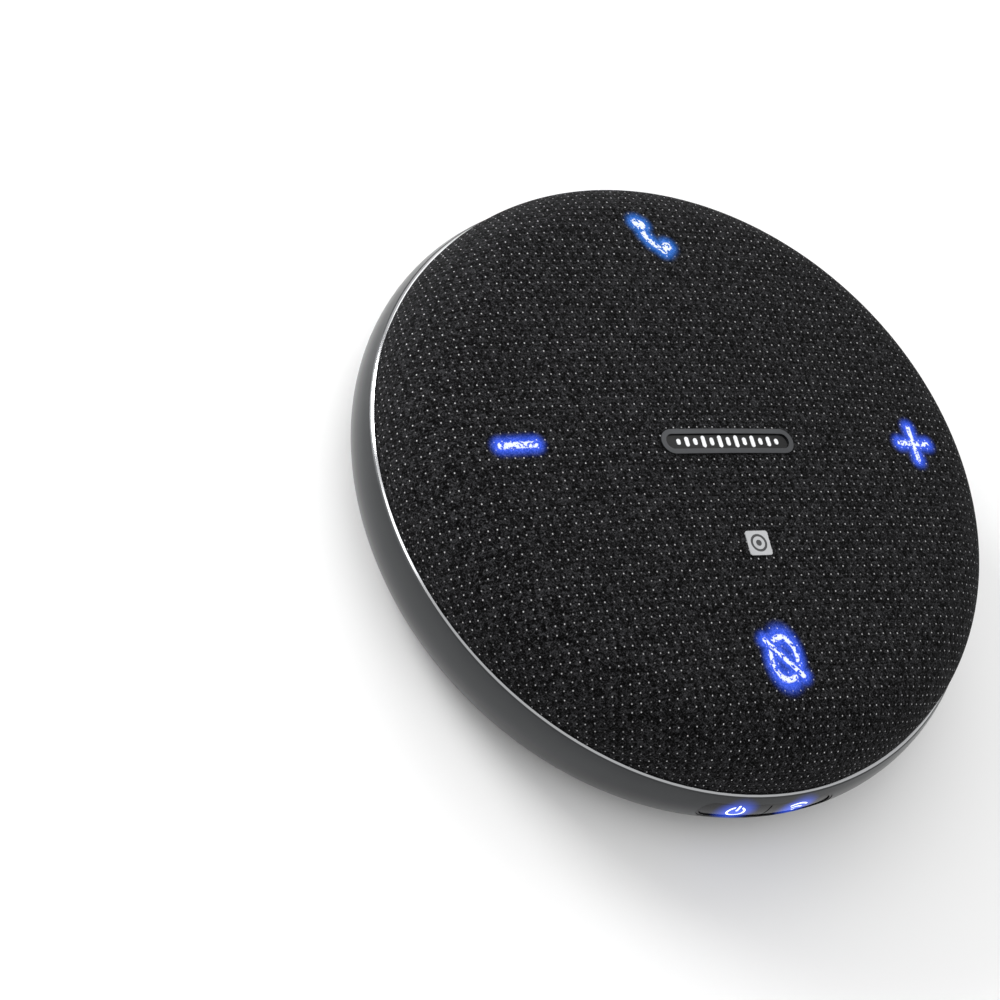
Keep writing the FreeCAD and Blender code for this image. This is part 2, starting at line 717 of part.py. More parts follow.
# Driver
def make_driver():
    seat = driver_seat_z
    top = seat + driver_flange
    plate_low = top_plate_z - top_plate
    magnet_low = plate_low - magnet_height
    lip = surround_radius + roll_radius
    basket = turned_points(
        [
            (driver_radius, seat),
            (driver_radius, top),
            (lip, top),
            (lip, seat + 0.3),
            (spider_radius + 0.6, spider_z),
            (spider_radius - 2, spider_z),
            (magnet_radius - 1, top_plate_z + basket_wall),
            (basket_inner, top_plate_z + basket_wall),
            (basket_inner, top_plate_z),
            (magnet_radius, top_plate_z),
            (magnet_radius + basket_wall, spider_z - basket_wall),
            (spider_radius + 1.4, spider_z - 0.8),
            (lip + 1.1, seat),
        ]
    )
    windows = []
    for n in range(6):
        wide, across = basket_window
        corner = V(spider_radius, -across / 2, spider_z + window_margin)
        window = Part.makeBox(wide, across, seat - spider_z - 2 * window_margin, corner)
        window.rotate(ORIGIN, UP, 60.0 * n + 30)
        windows.append(window)
    for angle in diagonals:
        windows.append(post(*polar(driver_screw_ring, angle), small_screw[0] + head_gap, seat, top))
    basket = cut_all(basket, windows)
    plate = ring(gap_radius, magnet_radius - steel_inset, plate_low, top_plate_z)
    magnet = ring(magnet_inner, magnet_radius, magnet_low, plate_low)
    back_plate = ring(0, magnet_radius - 3 * steel_inset, magnet_low - yoke_plate, magnet_low)
    yoke = joined([back_plate, ring(0, pole_radius, magnet_low, top_plate_z)])
    yoke = yoke.cut(post(0, 0, vent_radius, 0, crown_z))

    former_outer = coil_radius + former_wall
    former = ring(coil_radius, former_outer, plate_low - former_tail, cone_neck_z + cone_wall)
    winding_low = plate_low - winding_overhang[0]
    winding = ring(former_outer, former_outer + winding_wall, winding_low, top_plate_z + winding_overhang[1])

    cone_top = top
    cone_edge = surround_radius - roll_radius
    cone = turned_points(
        [
            (former_outer, cone_neck_z),
            (former_outer, cone_neck_z + cone_wall),
            (cone_edge - 0.8, cone_top),
            (cone_edge, cone_top),
            (cone_edge, cone_top - cone_wall),
            (cone_edge - 0.5, cone_top - cone_wall),
        ]
    )
    outer_roll = roll_radius + skin / 2
    inner_roll = roll_radius - skin / 2
    step = math.sqrt(outer_roll**2 - skin**2)
    inner_land = surround_radius - step - surround_land + fit_gap
    outer_land = surround_radius + step + surround_land
    surround = turned(
        [
            line((inner_land, cone_top), (surround_radius - inner_roll, cone_top)),
            arc(
                (surround_radius - inner_roll, cone_top),
                (surround_radius, cone_top + inner_roll),
                (surround_radius + inner_roll, cone_top),
            ),
            line((surround_radius + inner_roll, cone_top), (outer_land, cone_top)),
            line((outer_land, cone_top), (outer_land, cone_top + skin)),
            line((outer_land, cone_top + skin), (surround_radius + step, cone_top + skin)),
            arc(
                (surround_radius + step, cone_top + skin),
                (surround_radius, cone_top + outer_roll),
                (surround_radius - step, cone_top + skin),
            ),
            line((surround_radius - step, cone_top + skin), (inner_land, cone_top + skin)),
            line((inner_land, cone_top + skin), (inner_land, cone_top)),
        ]
    )

    flat_from = spider_radius - 2
    count = 4 * spider_waves
    crest = []
    for n in range(count + 1):
        r = former_outer + (flat_from - former_outer) * n / count
        crest.append((r, spider_z + spider_wave * math.sin(2 * math.pi * spider_waves * n / count)))
    lower = Part.BSplineCurve()
    lower.interpolate([V(r, 0, z) for r, z in crest])
    upper = Part.BSplineCurve()
    upper.interpolate([V(r, 0, z + skin) for r, z in crest])
    spider = turned(
        [
            lower.toShape(),
            line(crest[-1], (spider_radius, spider_z)),
            line((spider_radius, spider_z), (spider_radius, spider_z + skin)),
            line((spider_radius, spider_z + skin), (crest[-1][0], spider_z + skin)),
            upper.toShape(),
            line((crest[0][0], spider_z + skin), crest[0]),
        ]
    )

    slope = (cone_top - cone_neck_z - cone_wall) / (cone_edge - 0.8 - former_outer)
    cap_radius = former_outer + dust_cap_lip
    cap_z = cone_neck_z + cone_wall + slope * (cap_radius - former_outer)
    ball = (cap_radius**2 + dust_cap_rise**2) / (2 * dust_cap_rise)
    middle = V(0, 0, cap_z + dust_cap_rise - ball)
    cap = Part.makeSphere(ball, middle).cut(Part.makeSphere(ball - skin, middle))
    cap = cap.common(post(0, 0, cap_radius, cap_z, cap_z + dust_cap_rise + 1))
    return {
        "speaker_basket": basket,
        "speaker_top_plate": plate,
        "speaker_magnet": magnet,
        "speaker_yoke": yoke,
        "coil_former": former,
        "coil_winding": winding,
        "speaker_cone": cone,
        "speaker_surround": surround,
        "speaker_spider": spider,
        "dust_cap": cap,
    }


def make_speaker_gasket():
    gasket = ring(driver_radius - 4.4, driver_radius - 0.2, shelf_z, driver_seat_z)
    hole = small_screw[0] + head_gap
    holes = [post(*polar(driver_screw_ring, a), hole, shelf_z, driver_seat_z) for a in diagonals]
    return cut_all(gasket, holes)


def make_chamber():
    yoke_low = top_plate_z - top_plate - magnet_height - yoke_plate
    floor_low = yoke_low - 0.5 - chamber_wall
    flange_low = chamber_flange_top - chamber_wall
    cup = ring(0, chamber_radius, floor_low, chamber_flange_top)
    cup = cup.cut(ring(0, chamber_radius - chamber_wall, floor_low + chamber_wall, chamber_flange_top))
    flange = ring(chamber_radius - chamber_wall, chamber_flange_radius, flange_low, chamber_flange_top)
    gasket_edge = chamber_flange_radius - clear
    gasket = ring(chamber_radius - chamber_wall, gasket_edge, chamber_flange_top, frame_z)
    holes = []
    for angle in diagonals:
        x, y = polar(chamber_screw_ring, angle)
        holes.append(post(x, y, small_screw[0] + head_gap, flange_low, frame_z))
    return cut_all(joined([cup, flange]), holes), cut_all(gasket, holes)


# Touch board
def make_touch_board():
    low = touch_board_z
    board = ring(touch_board_inner, touch_board_radius, low, low + touch_board_wall)
    hole = small_screw[0] + head_gap
    holes = [post(*polar(touch_post_ring, a), hole, low, low + touch_board_wall) for a in diagonals]
    return cut_all(board, holes)


def make_light_guide(x, y):
    low = touch_board_z + touch_board_wall
    guide = post(x, y, light_radius, low, crown_z).common(under_cloth)
    pocket = post(x, y, lamp_size * 0.75, low, low + lamp_height + head_gap)
    return guide.cut(pocket)


def make_touch_lamps():
    low = touch_board_z + touch_board_wall
    size = (lamp_size, lamp_size, lamp_height)
    return group([block(size, at, low) for at in lights.values()])


def make_microphones():
    low = touch_board_z + touch_board_wall
    cans = []
    boots = []
    for x, y in microphones_at:
        can = block(microphone_size, (x, y), low)
        boot = post(x, y, boot_radius, low, crown_z).common(grille_under)
        boot = boot.cut(post(x, y, microphone_port, low, crown_z))
        cans.append(can)
        boots.append(boot.cut(can))
    return group(cans), group(boots)


# Bottom
def make_bottom_cover():
    edge = cover_edge
    bulge = (edge - 0.35 * cover_slope, (cover_z + band_z) / 2 - 0.25)
    skirt_inner = spigot_inner - spigot_wall
    skirt = turned(
        [
            line((skirt_inner, cover_z), (foot_edge, cover_z)),
            arc((foot_edge, cover_z), bulge, (edge, band_z)),
            line((edge, band_z), (skirt_inner, band_z)),
            line((skirt_inner, band_z), (skirt_inner, cover_z)),
        ]
    )
    floor = ring(0, spigot_inner, cover_z, floor_z)
    spigot = ring(spigot_inner, spigot_radius, cover_z + 1, spigot_top)
    parts = [skirt, floor, spigot]
    for angle in diagonals:
        parts.append(post(*polar(case_screw_ring, angle), case_boss, cover_z, spigot_top))
    for angle, radius in board_screws_at:
        parts.append(post(*polar(radius, angle), board_boss, cover_z, board_z))
    whole = joined(parts)
    groove_top = cover_z + foot_groove
    tools = [ring(foot_inner - fit_gap, foot_radius + fit_gap, 0, groove_top)]
    for angle in diagonals:
        x, y = polar(case_screw_ring, angle)
        tools.append(post(x, y, case_screw[1] + head_gap, 0, groove_top + case_screw[2] + fit_gap))
        tools.append(post(x, y, case_screw[0] + head_gap, 0, spigot_top + 1))
    for angle, radius in board_screws_at:
        x, y = polar(radius, angle)
        tools.append(post(x, y, small_screw[0] + thread_gap, board_z - small_screw_length, board_z + 1))
    return cut_all(whole, tools)


def make_foot_ring():
    foot = ring(foot_inner, foot_radius, 0, cover_z + foot_groove)
    low_edges = [e for e in foot.Edges if abs(e.BoundBox.ZMax) < 1e-6]
    return foot.makeFillet(0.4, low_edges)


# Main board
board_screws_at = [(-52.0, 46.0), (10.0, 34.0), (24.0, 50.5), (73.0, 49.0)]
speaker_lead_x = chamber_flange_radius + 4.0
speaker_lead_y = 8.0
speaker_lead_z = driver_seat_z - 5.6
socket_z = board_top + socket_size[2] / 2
socket_front = band_at(socket_z, band_wall) - socket_mouth
battery_x = -(chamber_radius + battery_gap + battery_size[0] / 2)
battery_z = floor_z + pad_wall


def sector(inner, outer, low, high, start, end):
    face_points = [V(inner, 0, low), V(outer, 0, low), V(outer, 0, high), V(inner, 0, high), V(inner, 0, low)]
    solid = Part.Face(Part.makePolygon(face_points)).revolve(ORIGIN, UP, end - start)
    solid.rotate(ORIGIN, UP, start)
    return solid


def make_main_board():
    body = sector(board_inner, board_radius, board_z, board_top, board_from, board_to)
    corner = V(-socket_size[0] / 2 - 1, board_inner + 5, board_z)
    tongue = Part.makeBox(socket_size[0] + 2, socket_front - board_inner - 6, board_wall, corner)
    whole = joined([body, tongue])
    tools = []
    for angle in diagonals:
        tools.append(post(*polar(case_screw_ring, angle), case_boss + clear, board_z, board_top))
    for angle, radius in board_screws_at:
        tools.append(post(*polar(radius, angle), small_screw[0] + head_gap, board_z, board_top))
    return cut_all(whole, tools)


def make_usb_socket():
    wide, deep, tall = socket_size
    shell = facing(capsule(wide, tall), 0, socket_z, socket_front - deep, socket_front)
    socket_rear = socket_front - deep
    opening = capsule(wide - 2 * socket_wall, tall - 2 * socket_wall)
    inside = facing(opening, 0, socket_z, socket_rear + 1, socket_front + 1)
    plate_wide, plate_deep, plate_thick = tongue_size
    corner = V(-plate_wide / 2, socket_rear + 0.5, socket_z - plate_thick / 2)
    tongue = Part.makeBox(plate_wide, plate_deep, plate_thick, corner)
    return joined([shell.cut(inside), tongue])


def at_angle(shape, angle):
    shape.rotate(ORIGIN, UP, angle)
    return shape


def make_board_parts():
    wide, deep, tall = can_size
    can = block(can_size, (can_ring, 0), board_top)
    can = can.makeFillet(1.0, [e for e in can.Edges if abs(e.tangentAt(0).z) > 0.9])
    hollow = block((wide - 2 * can_wall, deep - 2 * can_wall, tall - can_wall), (can_ring, 0), board_top)
    can = at_angle(can.cut(hollow), can_angle)
    chips = [
        at_angle(block((7.0, 7.0, 1.0), (can_ring - 2.5, 0), board_top), can_angle),
        at_angle(block((4.0, 5.0, 0.8), (can_ring + 4.5, 0), board_top), can_angle),
        at_angle(block((6.0, 6.0, 0.9), (44.0, 0), board_top), 40 - 12),
        at_angle(block((4.0, 4.0, 2.0), (39.0, 0), board_top), 44.0),
        at_angle(block((5.0, 4.0, 1.0), (38.0, 0), board_top), 84.0),
        at_angle(block((4.0, 4.0, 1.8), (47.0, 0), board_top), 102.0),
        at_angle(block((5.0, 5.0, 0.9), (36.0, 0), board_top), -48.0),
    ]
    for n in range(8):
        spot = (board_inner + 3.0 + 1.5 * (n % 2), 0)
        chips.append(at_angle(block((1.6, 0.8, 0.6), spot, board_top), 50.0 + 5.0 * n))
    return can, group(chips)


def make_plugs():
    places = [(speaker_lead_x, speaker_lead_y), battery_plug_at, key_plug_at]
    return group([block((plug_depth, plug_width, plug_height), at, board_top) for at in places])


def make_battery():
    body = block(battery_size, (battery_x, 0), battery_z)
    long_edges = [e for e in body.Edges if abs(e.tangentAt(0).y) > 0.9]
    body = body.makeFillet(battery_round, long_edges)
    pad = block((battery_size[0] - 6, battery_size[1] - 8, pad_wall), (battery_x, 0), floor_z)
    return body, pad


# Leads
battery_plug_at = (-16.5, 38.0)
key_plug_at = (29.2, -41.5)
lead_z = board_top + plug_height / 2


def lead(points, diameter):
    """A round lead along straight runs joined by tangent arcs as large as the runs allow."""
    corners = [V(*p) for p in points]
    edges = []
    start = corners[0]
    for before, corner, after in zip(corners, corners[1:], corners[2:]):
        back = (before - corner).normalize()
        ahead = (after - corner).normalize()
        turn = math.pi - back.getAngle(ahead)
        shorter = min((before - corner).Length, (after - corner).Length)
        radius = 0.45 * shorter / math.tan(turn / 2)
        reach = radius * math.tan(turn / 2)
        first = corner + back * reach
        last = corner + ahead * reach
        inward = (back + ahead).normalize()
        middle = corner + inward * (radius / math.cos(turn / 2) - radius)
        edges.append(Part.LineSegment(start, first).toShape())
        edges.append(Part.Arc(first, middle, last).toShape())
        start = last
    edges.append(Part.LineSegment(start, corners[-1]).toShape())
    path = Part.Wire(edges)
    heading = (corners[1] - corners[0]).normalize()
    profile = Part.Wire(Part.makeCircle(diameter / 2, corners[0], heading))
    return path.makePipeShell([profile], True, False)


def make_leads():
    battery_end = battery_size[1] / 2
    speaker = [
        (spider_radius + 4.0, speaker_lead_y, speaker_lead_z),
        (speaker_lead_x, speaker_lead_y, speaker_lead_z),
        (speaker_lead_x, speaker_lead_y, board_top + plug_height),
    ]
    battery = [
        (battery_x + 6.0, battery_end, lead_z - 1),
        (battery_x + 6.0, battery_end + 8.0, lead_z - 1),
        (battery_plug_at[0] - 8.5, battery_plug_at[1], lead_z),
        (battery_plug_at[0] - plug_depth / 2, battery_plug_at[1], lead_z),
    ]
    key = [
        (key_board_length / 2 - 6, key_board_back, lead_z + 0.3),
        (key_board_length / 2 - 6, key_board_back + 9.0, lead_z + 0.3),
        (key_plug_at[0] - 8.8, key_plug_at[1], lead_z),
        (key_plug_at[0] - plug_depth / 2, key_plug_at[1], lead_z),
    ]
    return {
        "speaker_lead": lead(speaker, lead_diameter),
        "battery_lead": lead(battery, lead_diameter),
        "key_lead": lead(key, key_lead_diameter),
    }


def make_board_link():
    """Flat link folded like a C, between a socket on each board."""
    low = board_top + 1.2
    high = touch_board_z - 1.2
    near = link_ring
    bend = link_bend
    wall = link_wall
    far = near + bend + 1.5
    c = bend * (1 - math.sqrt(0.5))
    d = (bend - wall) * (1 - math.sqrt(0.5))
    edges = [
        line((near, low), (far - bend, low)),
        arc((far - bend, low), (far - c, low + c), (far, low + bend)),
        line((far, low + bend), (far, high - bend)),
        arc((far, high - bend), (far - c, high - c), (far - bend, high)),
        line((far - bend, high), (near, high)),
        line((near, high), (near, high - wall)),
        line((near, high - wall), (far - bend, high - wall)),
        arc((far - bend, high - wall), (far - wall - d, high - wall - d), (far - wall, high - bend)),
        line((far - wall, high - bend), (far - wall, low + bend)),
        arc((far - wall, low + bend), (far - wall - d, low + wall + d), (far - bend, low + wall)),
        line((far - bend, low + wall), (near, low + wall)),
        line((near, low + wall), (near, low)),
    ]
    strip = Part.Face(Part.Wire(edges)).extrude(V(0, link_width, 0))
    strip.translate(V(0, -link_width / 2, 0))
    sockets = [
        block((4.0, link_width + 1, 1.2), (near - 1, 0), board_top),
        block((4.0, link_width + 1, 1.2), (near - 1, 0), touch_board_z - 1.2),
    ]
    return at_angle(strip, link_angle), at_angle(group(sockets), link_angle)


# The whole object
def build():
    nodes = {}
    nodes["fabric_cover"] = make_fabric_cover()
    nodes["top_grille"] = make_top_grille()
    nodes["badge_bezel"], nodes["badge_plate"], nodes["badge_mark"] = make_badge()
    nodes["tag_mark"] = make_tag_mark()
    nodes["contactless_antenna"] = make_contactless_antenna()
    nodes["side_band"] = make_side_band()
    nodes["key_bezel"], keys, icons = make_keys()
    nodes["power_key"], nodes["wireless_key"] = keys
    nodes["power_symbol"], nodes["wireless_symbol"] = icons
    housings, stems, domes = make_switches()
    nodes["key_switches"] = group(housings)
    nodes["power_stem"], nodes["wireless_stem"] = stems
    nodes["power_snap_dome"], nodes["wireless_snap_dome"] = domes
    nodes["key_board"], nodes["key_lamps"] = make_key_board()
    nodes["mid_frame"] = make_mid_frame()
    nodes.update(make_driver())
    nodes["speaker_gasket"] = make_speaker_gasket()
    flange_top = driver_seat_z + driver_flange
    screws = small_screws(driver_screw_ring, diagonals, flange_top, False, small_screw_length)
    nodes["rear_chamber"], nodes["chamber_gasket"] = make_chamber()
    chamber_low = chamber_flange_top - chamber_wall
    screws += small_screws(chamber_screw_ring, diagonals, chamber_low, True, small_screw_length)
    nodes["speaker_screws"] = group(screws)
    nodes["touch_board"] = make_touch_board()
    touch_top = touch_board_z + touch_board_wall
    screws = small_screws(touch_post_ring, diagonals, touch_top, False, small_screw_length)
    for angle, radius in board_screws_at:
        screws.append(screw(*polar(radius, angle), small_screw, small_screw_length, board_top, False))
    nodes["board_screws"] = group(screws)
    for name, (x, y) in lights.items():
        nodes[name + "_light"] = make_light_guide(x, y)
    nodes["touch_lamps"] = make_touch_lamps()
    nodes["microphones"], nodes["microphone_boots"] = make_microphones()
    screws = small_screws(grille_screw_ring, grille_screw_angles, frame_z, True, small_screw_length)
    nodes["grille_screws"] = group(screws)
    nodes["bottom_cover"] = make_bottom_cover()
    nodes["foot_ring"] = make_foot_ring()
    head_z = cover_z + foot_groove + case_screw[2] + fit_gap
    nodes["case_screws"] = group(
        [screw(*polar(case_screw_ring, a), case_screw, case_screw_length, head_z, True) for a in diagonals]
    )
    nodes["main_board"] = make_main_board()
    nodes["usb_socket"] = make_usb_socket()
    nodes["shield_can"], nodes["board_chips"] = make_board_parts()
    nodes["board_plugs"] = make_plugs()
    nodes["battery"], nodes["battery_pad"] = make_battery()
    nodes.update(make_leads())
    nodes["board_link"], nodes["link_sockets"] = make_board_link()
    return nodes


os.makedirs("parts", exist_ok=True)
for name, shape in build().items():
    solids = shape.Solids
    if not solids or not shape.isValid() or min(s.Volume for s in solids) <= 0:
        raise ValueError(name + " isn't a sound solid")
    whole = solids[0] if len(solids) == 1 else Part.makeCompound(solids)
    whole.exportStep("parts/" + name + ".step")
    print(name, len(solids), round(sum(s.Volume for s in solids), 1))
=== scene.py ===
import math
import bpy
import bmesh
from mathutils import Matrix, Vector
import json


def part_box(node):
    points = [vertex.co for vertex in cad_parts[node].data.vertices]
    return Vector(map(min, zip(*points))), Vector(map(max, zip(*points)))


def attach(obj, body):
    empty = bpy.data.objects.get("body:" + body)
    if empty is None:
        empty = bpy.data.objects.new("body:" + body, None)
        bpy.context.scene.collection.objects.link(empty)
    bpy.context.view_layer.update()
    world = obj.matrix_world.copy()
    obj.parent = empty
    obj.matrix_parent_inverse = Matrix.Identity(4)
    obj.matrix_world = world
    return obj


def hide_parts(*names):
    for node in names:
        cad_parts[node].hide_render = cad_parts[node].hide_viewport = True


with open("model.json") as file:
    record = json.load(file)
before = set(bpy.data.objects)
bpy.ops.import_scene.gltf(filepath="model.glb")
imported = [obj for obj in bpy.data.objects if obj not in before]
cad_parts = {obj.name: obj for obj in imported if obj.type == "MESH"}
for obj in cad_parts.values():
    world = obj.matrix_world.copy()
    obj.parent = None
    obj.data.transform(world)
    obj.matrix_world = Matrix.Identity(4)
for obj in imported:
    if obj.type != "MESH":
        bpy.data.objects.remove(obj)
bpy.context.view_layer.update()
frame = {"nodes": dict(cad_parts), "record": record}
print("frame loaded:", len(frame["nodes"]), "nodes")

mm = 0.001


# Colours, nodes and materials

def hexColour(text):
    # sRGB hex to the linear values that the shaders use
    parts = [int(text[i:i + 2], 16) / 255 for i in (1, 3, 5)]
    return (*[p / 12.92 if p <= 0.04045 else ((p + 0.055) / 1.055) ** 2.4 for p in parts], 1.0)


def addNode(tree, kind, settings=None, links=None):
    # links takes sockets of other nodes and plain values alike
    node = tree.nodes.new(kind)
    for name, value in (settings or {}).items():
        setattr(node, name, value)
    for name, value in (links or {}).items():
        if isinstance(value, bpy.types.NodeSocket):
            tree.links.new(value, node.inputs[name])
        else:
            node.inputs[name].default_value = value
    return node


def startMaterial(name, roughness, metallic=0.0):
    material = bpy.data.materials.new(name)
    material.use_nodes = True
    tree = material.node_tree
    shader = tree.nodes["Principled BSDF"]
    shader.inputs["Roughness"].default_value = roughness
    shader.inputs["Metallic"].default_value = metallic
    return material, tree, shader


def blendColours(tree, factor, low, high):
    # two hex colours or sockets, mixed by a factor
    mix = addNode(tree, "ShaderNodeMix", {"data_type": "RGBA"}, {0: factor})
    for socket, colour in ((6, low), (7, high)):
        if isinstance(colour, str):
            mix.inputs[socket].default_value = hexColour(colour)
        else:
            tree.links.new(colour, mix.inputs[socket])
    return mix.outputs[2]


# Every plain finish: two close colours that mix over patches, a fine grain that lifts the surface,
# and a roughness that drifts a little. Sizes are in millimetres.
def makeFinish(name, look):
    material, tree, shader = startMaterial(name, look["roughness"], look.get("metallic", 0.0))
    place = addNode(tree, "ShaderNodeTexCoord").outputs["Object"]
    stretch = look.get("stretch", (1, 1, 1))
    laid = addNode(tree, "ShaderNodeMapping", {}, {"Vector": place, "Scale": stretch}).outputs[0]
    patches = addNode(
        tree, "ShaderNodeTexNoise", {}, {"Vector": laid, "Scale": 1 / (look["patch"] * mm), "Detail": 3.0}
    ).outputs["Fac"]
    grain = addNode(
        tree, "ShaderNodeTexNoise", {}, {"Vector": laid, "Scale": 1 / (look["grain"] * mm), "Detail": 4.0}
    ).outputs["Fac"]
    colour = blendColours(tree, patches, look["dark"], look["light"])
    tree.links.new(colour, shader.inputs["Base Color"])
    drift = look.get("drift", 0.06)
    rough = addNode(
        tree, "ShaderNodeMapRange", {},
        {"Value": grain, "To Min": look["roughness"] - drift, "To Max": look["roughness"] + drift},
    ).outputs[0]
    tree.links.new(rough, shader.inputs["Roughness"])
    bump = addNode(
        tree, "ShaderNodeBump", {},
        {"Strength": look.get("relief", 0.2), "Distance": look["grain"] * mm * 0.3, "Height": grain},
    ).outputs[0]
    tree.links.new(bump, shader.inputs["Normal"])
    for socket, value in look.get("shader", {}).items():
        shader.inputs[socket].default_value = value
    return material


def paint(nodeName, material):
    node = frame["nodes"][nodeName]
    node.data.materials.clear()
    node.data.materials.append(material)
    for face in node.data.polygons:
        face.material_index = 0


# Camera

view = {
    "place": (-0.27402, -0.19691, 0.38541),
    "right": (0.8726, -0.2397, 0.4255),
    "up": (0.0129, 0.8822, 0.4707),
    "back": (-0.4882, -0.4053, 0.7729),
    "lens": 95.17,
}
cameraData = bpy.data.cameras.new("camera")
cameraData.lens = view["lens"]
cameraData.sensor_width = 36
cameraData.clip_start = 0.01
camera = bpy.data.objects.new("camera", cameraData)
axes = Matrix((view["right"], view["up"], view["back"])).transposed().to_4x4()
camera.matrix_world = Matrix.Translation(view["place"]) @ axes
bpy.context.scene.collection.objects.link(camera)
bpy.context.scene.camera = camera
bpy.context.scene.view_settings.view_transform = "Standard"  # keeps the whites white
print("camera set")


# Cloth cover

# The cloth's outer face: a gentle crown that runs into a tight arc at the rim, then a short skirt
# tucked inside the band. Lengths in millimetres, as in the part's source.
cloth = {
    "crownZ": 32.75,
    "crownRadius": 450.0,
    "rimRadius": 63.2,
    "rimZ": 16.0,
    "skirtZ": 14.9,
    "thick": 0.6,
    "turns": 300,  # steps round the dome
    "crownRings": 84,
    "rimSteps": 28,
    "badgeHalf": (14.05, 2.1, -0.5),  # half length, half width, middle in y of the opening under the bezel
    "flat": (0.145, 0.145),  # disc cut from a square
    "flatArea": 0.0165,
}

# The rim's arc stands upright at the rim and touches the crown's arc
crownDepth = cloth["rimZ"] - cloth["crownZ"] + cloth["crownRadius"]
spare = cloth["crownRadius"] - cloth["rimRadius"]
edgeCentre = (crownDepth ** 2 - spare ** 2) / (2 * spare)
edgeRadius = cloth["rimRadius"] - edgeCentre
edgeStart = math.atan2(crownDepth, edgeCentre)  # from the horizontal


def clothOutline():
    points = []
    crownEnd = cloth["crownRadius"] * math.cos(edgeStart)
    crownMiddle = cloth["crownZ"] - cloth["crownRadius"]
    for i in range(cloth["crownRings"]):
        r = crownEnd * i / cloth["crownRings"]
        points.append((r, crownMiddle + math.sqrt(cloth["crownRadius"] ** 2 - r * r)))
    for i in range(cloth["rimSteps"] + 1):
        a = edgeStart * (1 - i / cloth["rimSteps"])
        points.append((edgeCentre + edgeRadius * math.cos(a), cloth["rimZ"] + edgeRadius * math.sin(a)))
    points.append((points[-1][0], cloth["skirtZ"]))
    return points


def clothArc(r, z):
    # length along the cloth from the crown to this place, in millimetres
    if r <= cloth["crownRadius"] * math.cos(edgeStart):
        return cloth["crownRadius"] * math.asin(r / cloth["crownRadius"])
    start = cloth["crownRadius"] * (math.pi / 2 - edgeStart)
    angle = math.atan2(z - cloth["rimZ"], r - edgeCentre)
    if angle >= 0:
        return start + edgeRadius * (edgeStart - angle)
    return start + edgeRadius * edgeStart + cloth["rimZ"] - z


def underBadge(p):
    halfLength, halfWidth, middle = cloth["badgeHalf"]
    x = max(abs(p.x) / mm - (halfLength - halfWidth), 0)
    return math.hypot(x, p.y / mm - middle) < halfWidth


def makeCloth():
    mesh = bpy.data.meshes.new("cloth_cover")
    form = bmesh.new()
    outline = [form.verts.new((r * mm, 0, z * mm)) for r, z in clothOutline()]
    edges = [form.edges.new(pair) for pair in zip(outline, outline[1:])]
    bmesh.ops.spin(
        form, geom=outline + edges, cent=(0, 0, 0), axis=(0, 0, 1), angle=2 * math.pi, steps=cloth["turns"],
        use_merge=True,
    )
    bmesh.ops.remove_doubles(form, verts=form.verts, dist=1e-6)
    bmesh.ops.recalc_face_normals(form, faces=form.faces)
    hidden = [f for f in form.faces if all(underBadge(v.co) for v in f.verts)]
    bmesh.ops.delete(form, geom=hidden, context="FACES")
    threads = form.loops.layers.uv.new("threads")  # metres along the cloth from its middle
    for face in form.faces:
        face.smooth = True
        for corner in face.loops:
            p = corner.vert.co
            r = math.hypot(p.x, p.y)
            reach = clothArc(r / mm, p.z / mm) * mm / max(r, 1e-9)
            corner[threads].uv = (p.x * reach, p.y * reach)
    if sum(f.normal.z for f in form.faces) < 0:
        bmesh.ops.reverse_faces(form, faces=form.faces)
    form.to_mesh(mesh)
    form.free()
    cover = bpy.data.objects.new("cloth_cover", mesh)
    bpy.context.scene.collection.objects.link(cover)
    wall = cover.modifiers.new("cloth", "SOLIDIFY")
    wall.thickness = cloth["thick"] * mm
    wall.offset = -1
    return cover


# Lit symbols seen through the cloth, painted as emission on the cloth, in millimetres on the part

glow = {
    "reach": 2.6,  # how far the blue spreads past the strokes
    "fade": 2.2,  # above 1 the blue falls off sooner
    "blue": "#3A62F6",
    "azure": "#2F74D8",
    "white": "#E9F1FF",
    "strength": 1.15,
    "speckle": 0.85,  # openings between yarns, in millimetres
    "slashGap": 0.55,  # clear cloth on each side of the mute symbol's slash
}
symbols = {
    "volumeDown": {
        "middle": (-43.3, 0.0), "strokes": [((-3.3, 0.0), (3.3, 0.0), 0.62)], "colour": "blue",
    },
    "volumeUp": {
        "middle": (44.4, 0.1),
        "strokes": [((-3.5, 0.0), (3.5, 0.0), 0.5), ((0.0, -3.5), (0.0, 3.5), 0.5)], "colour": "blue",
    },
    "call": {
        "middle": (-0.9, 45.7),
        "strokes": [
            ((-2.35, 3.3), (-1.55, 2.75), 0.95), ((-2.0, 2.2), (-1.55, 0.2), 0.55),
            ((-1.55, 0.2), (-0.6, -1.6), 0.55), ((-0.6, -1.6), (1.0, -3.0), 0.55),
            ((1.6, -3.2), (2.5, -2.3), 0.95),
        ],
        "colour": "azure",
    },
    "mute": {
        "middle": (-0.9, -43.5), "strokes": [((-3.3, 3.6), (3.2, -3.4), 0.42)], "ring": (2.75, 4.0, 0.36),
        "colour": "blue",
    },
}


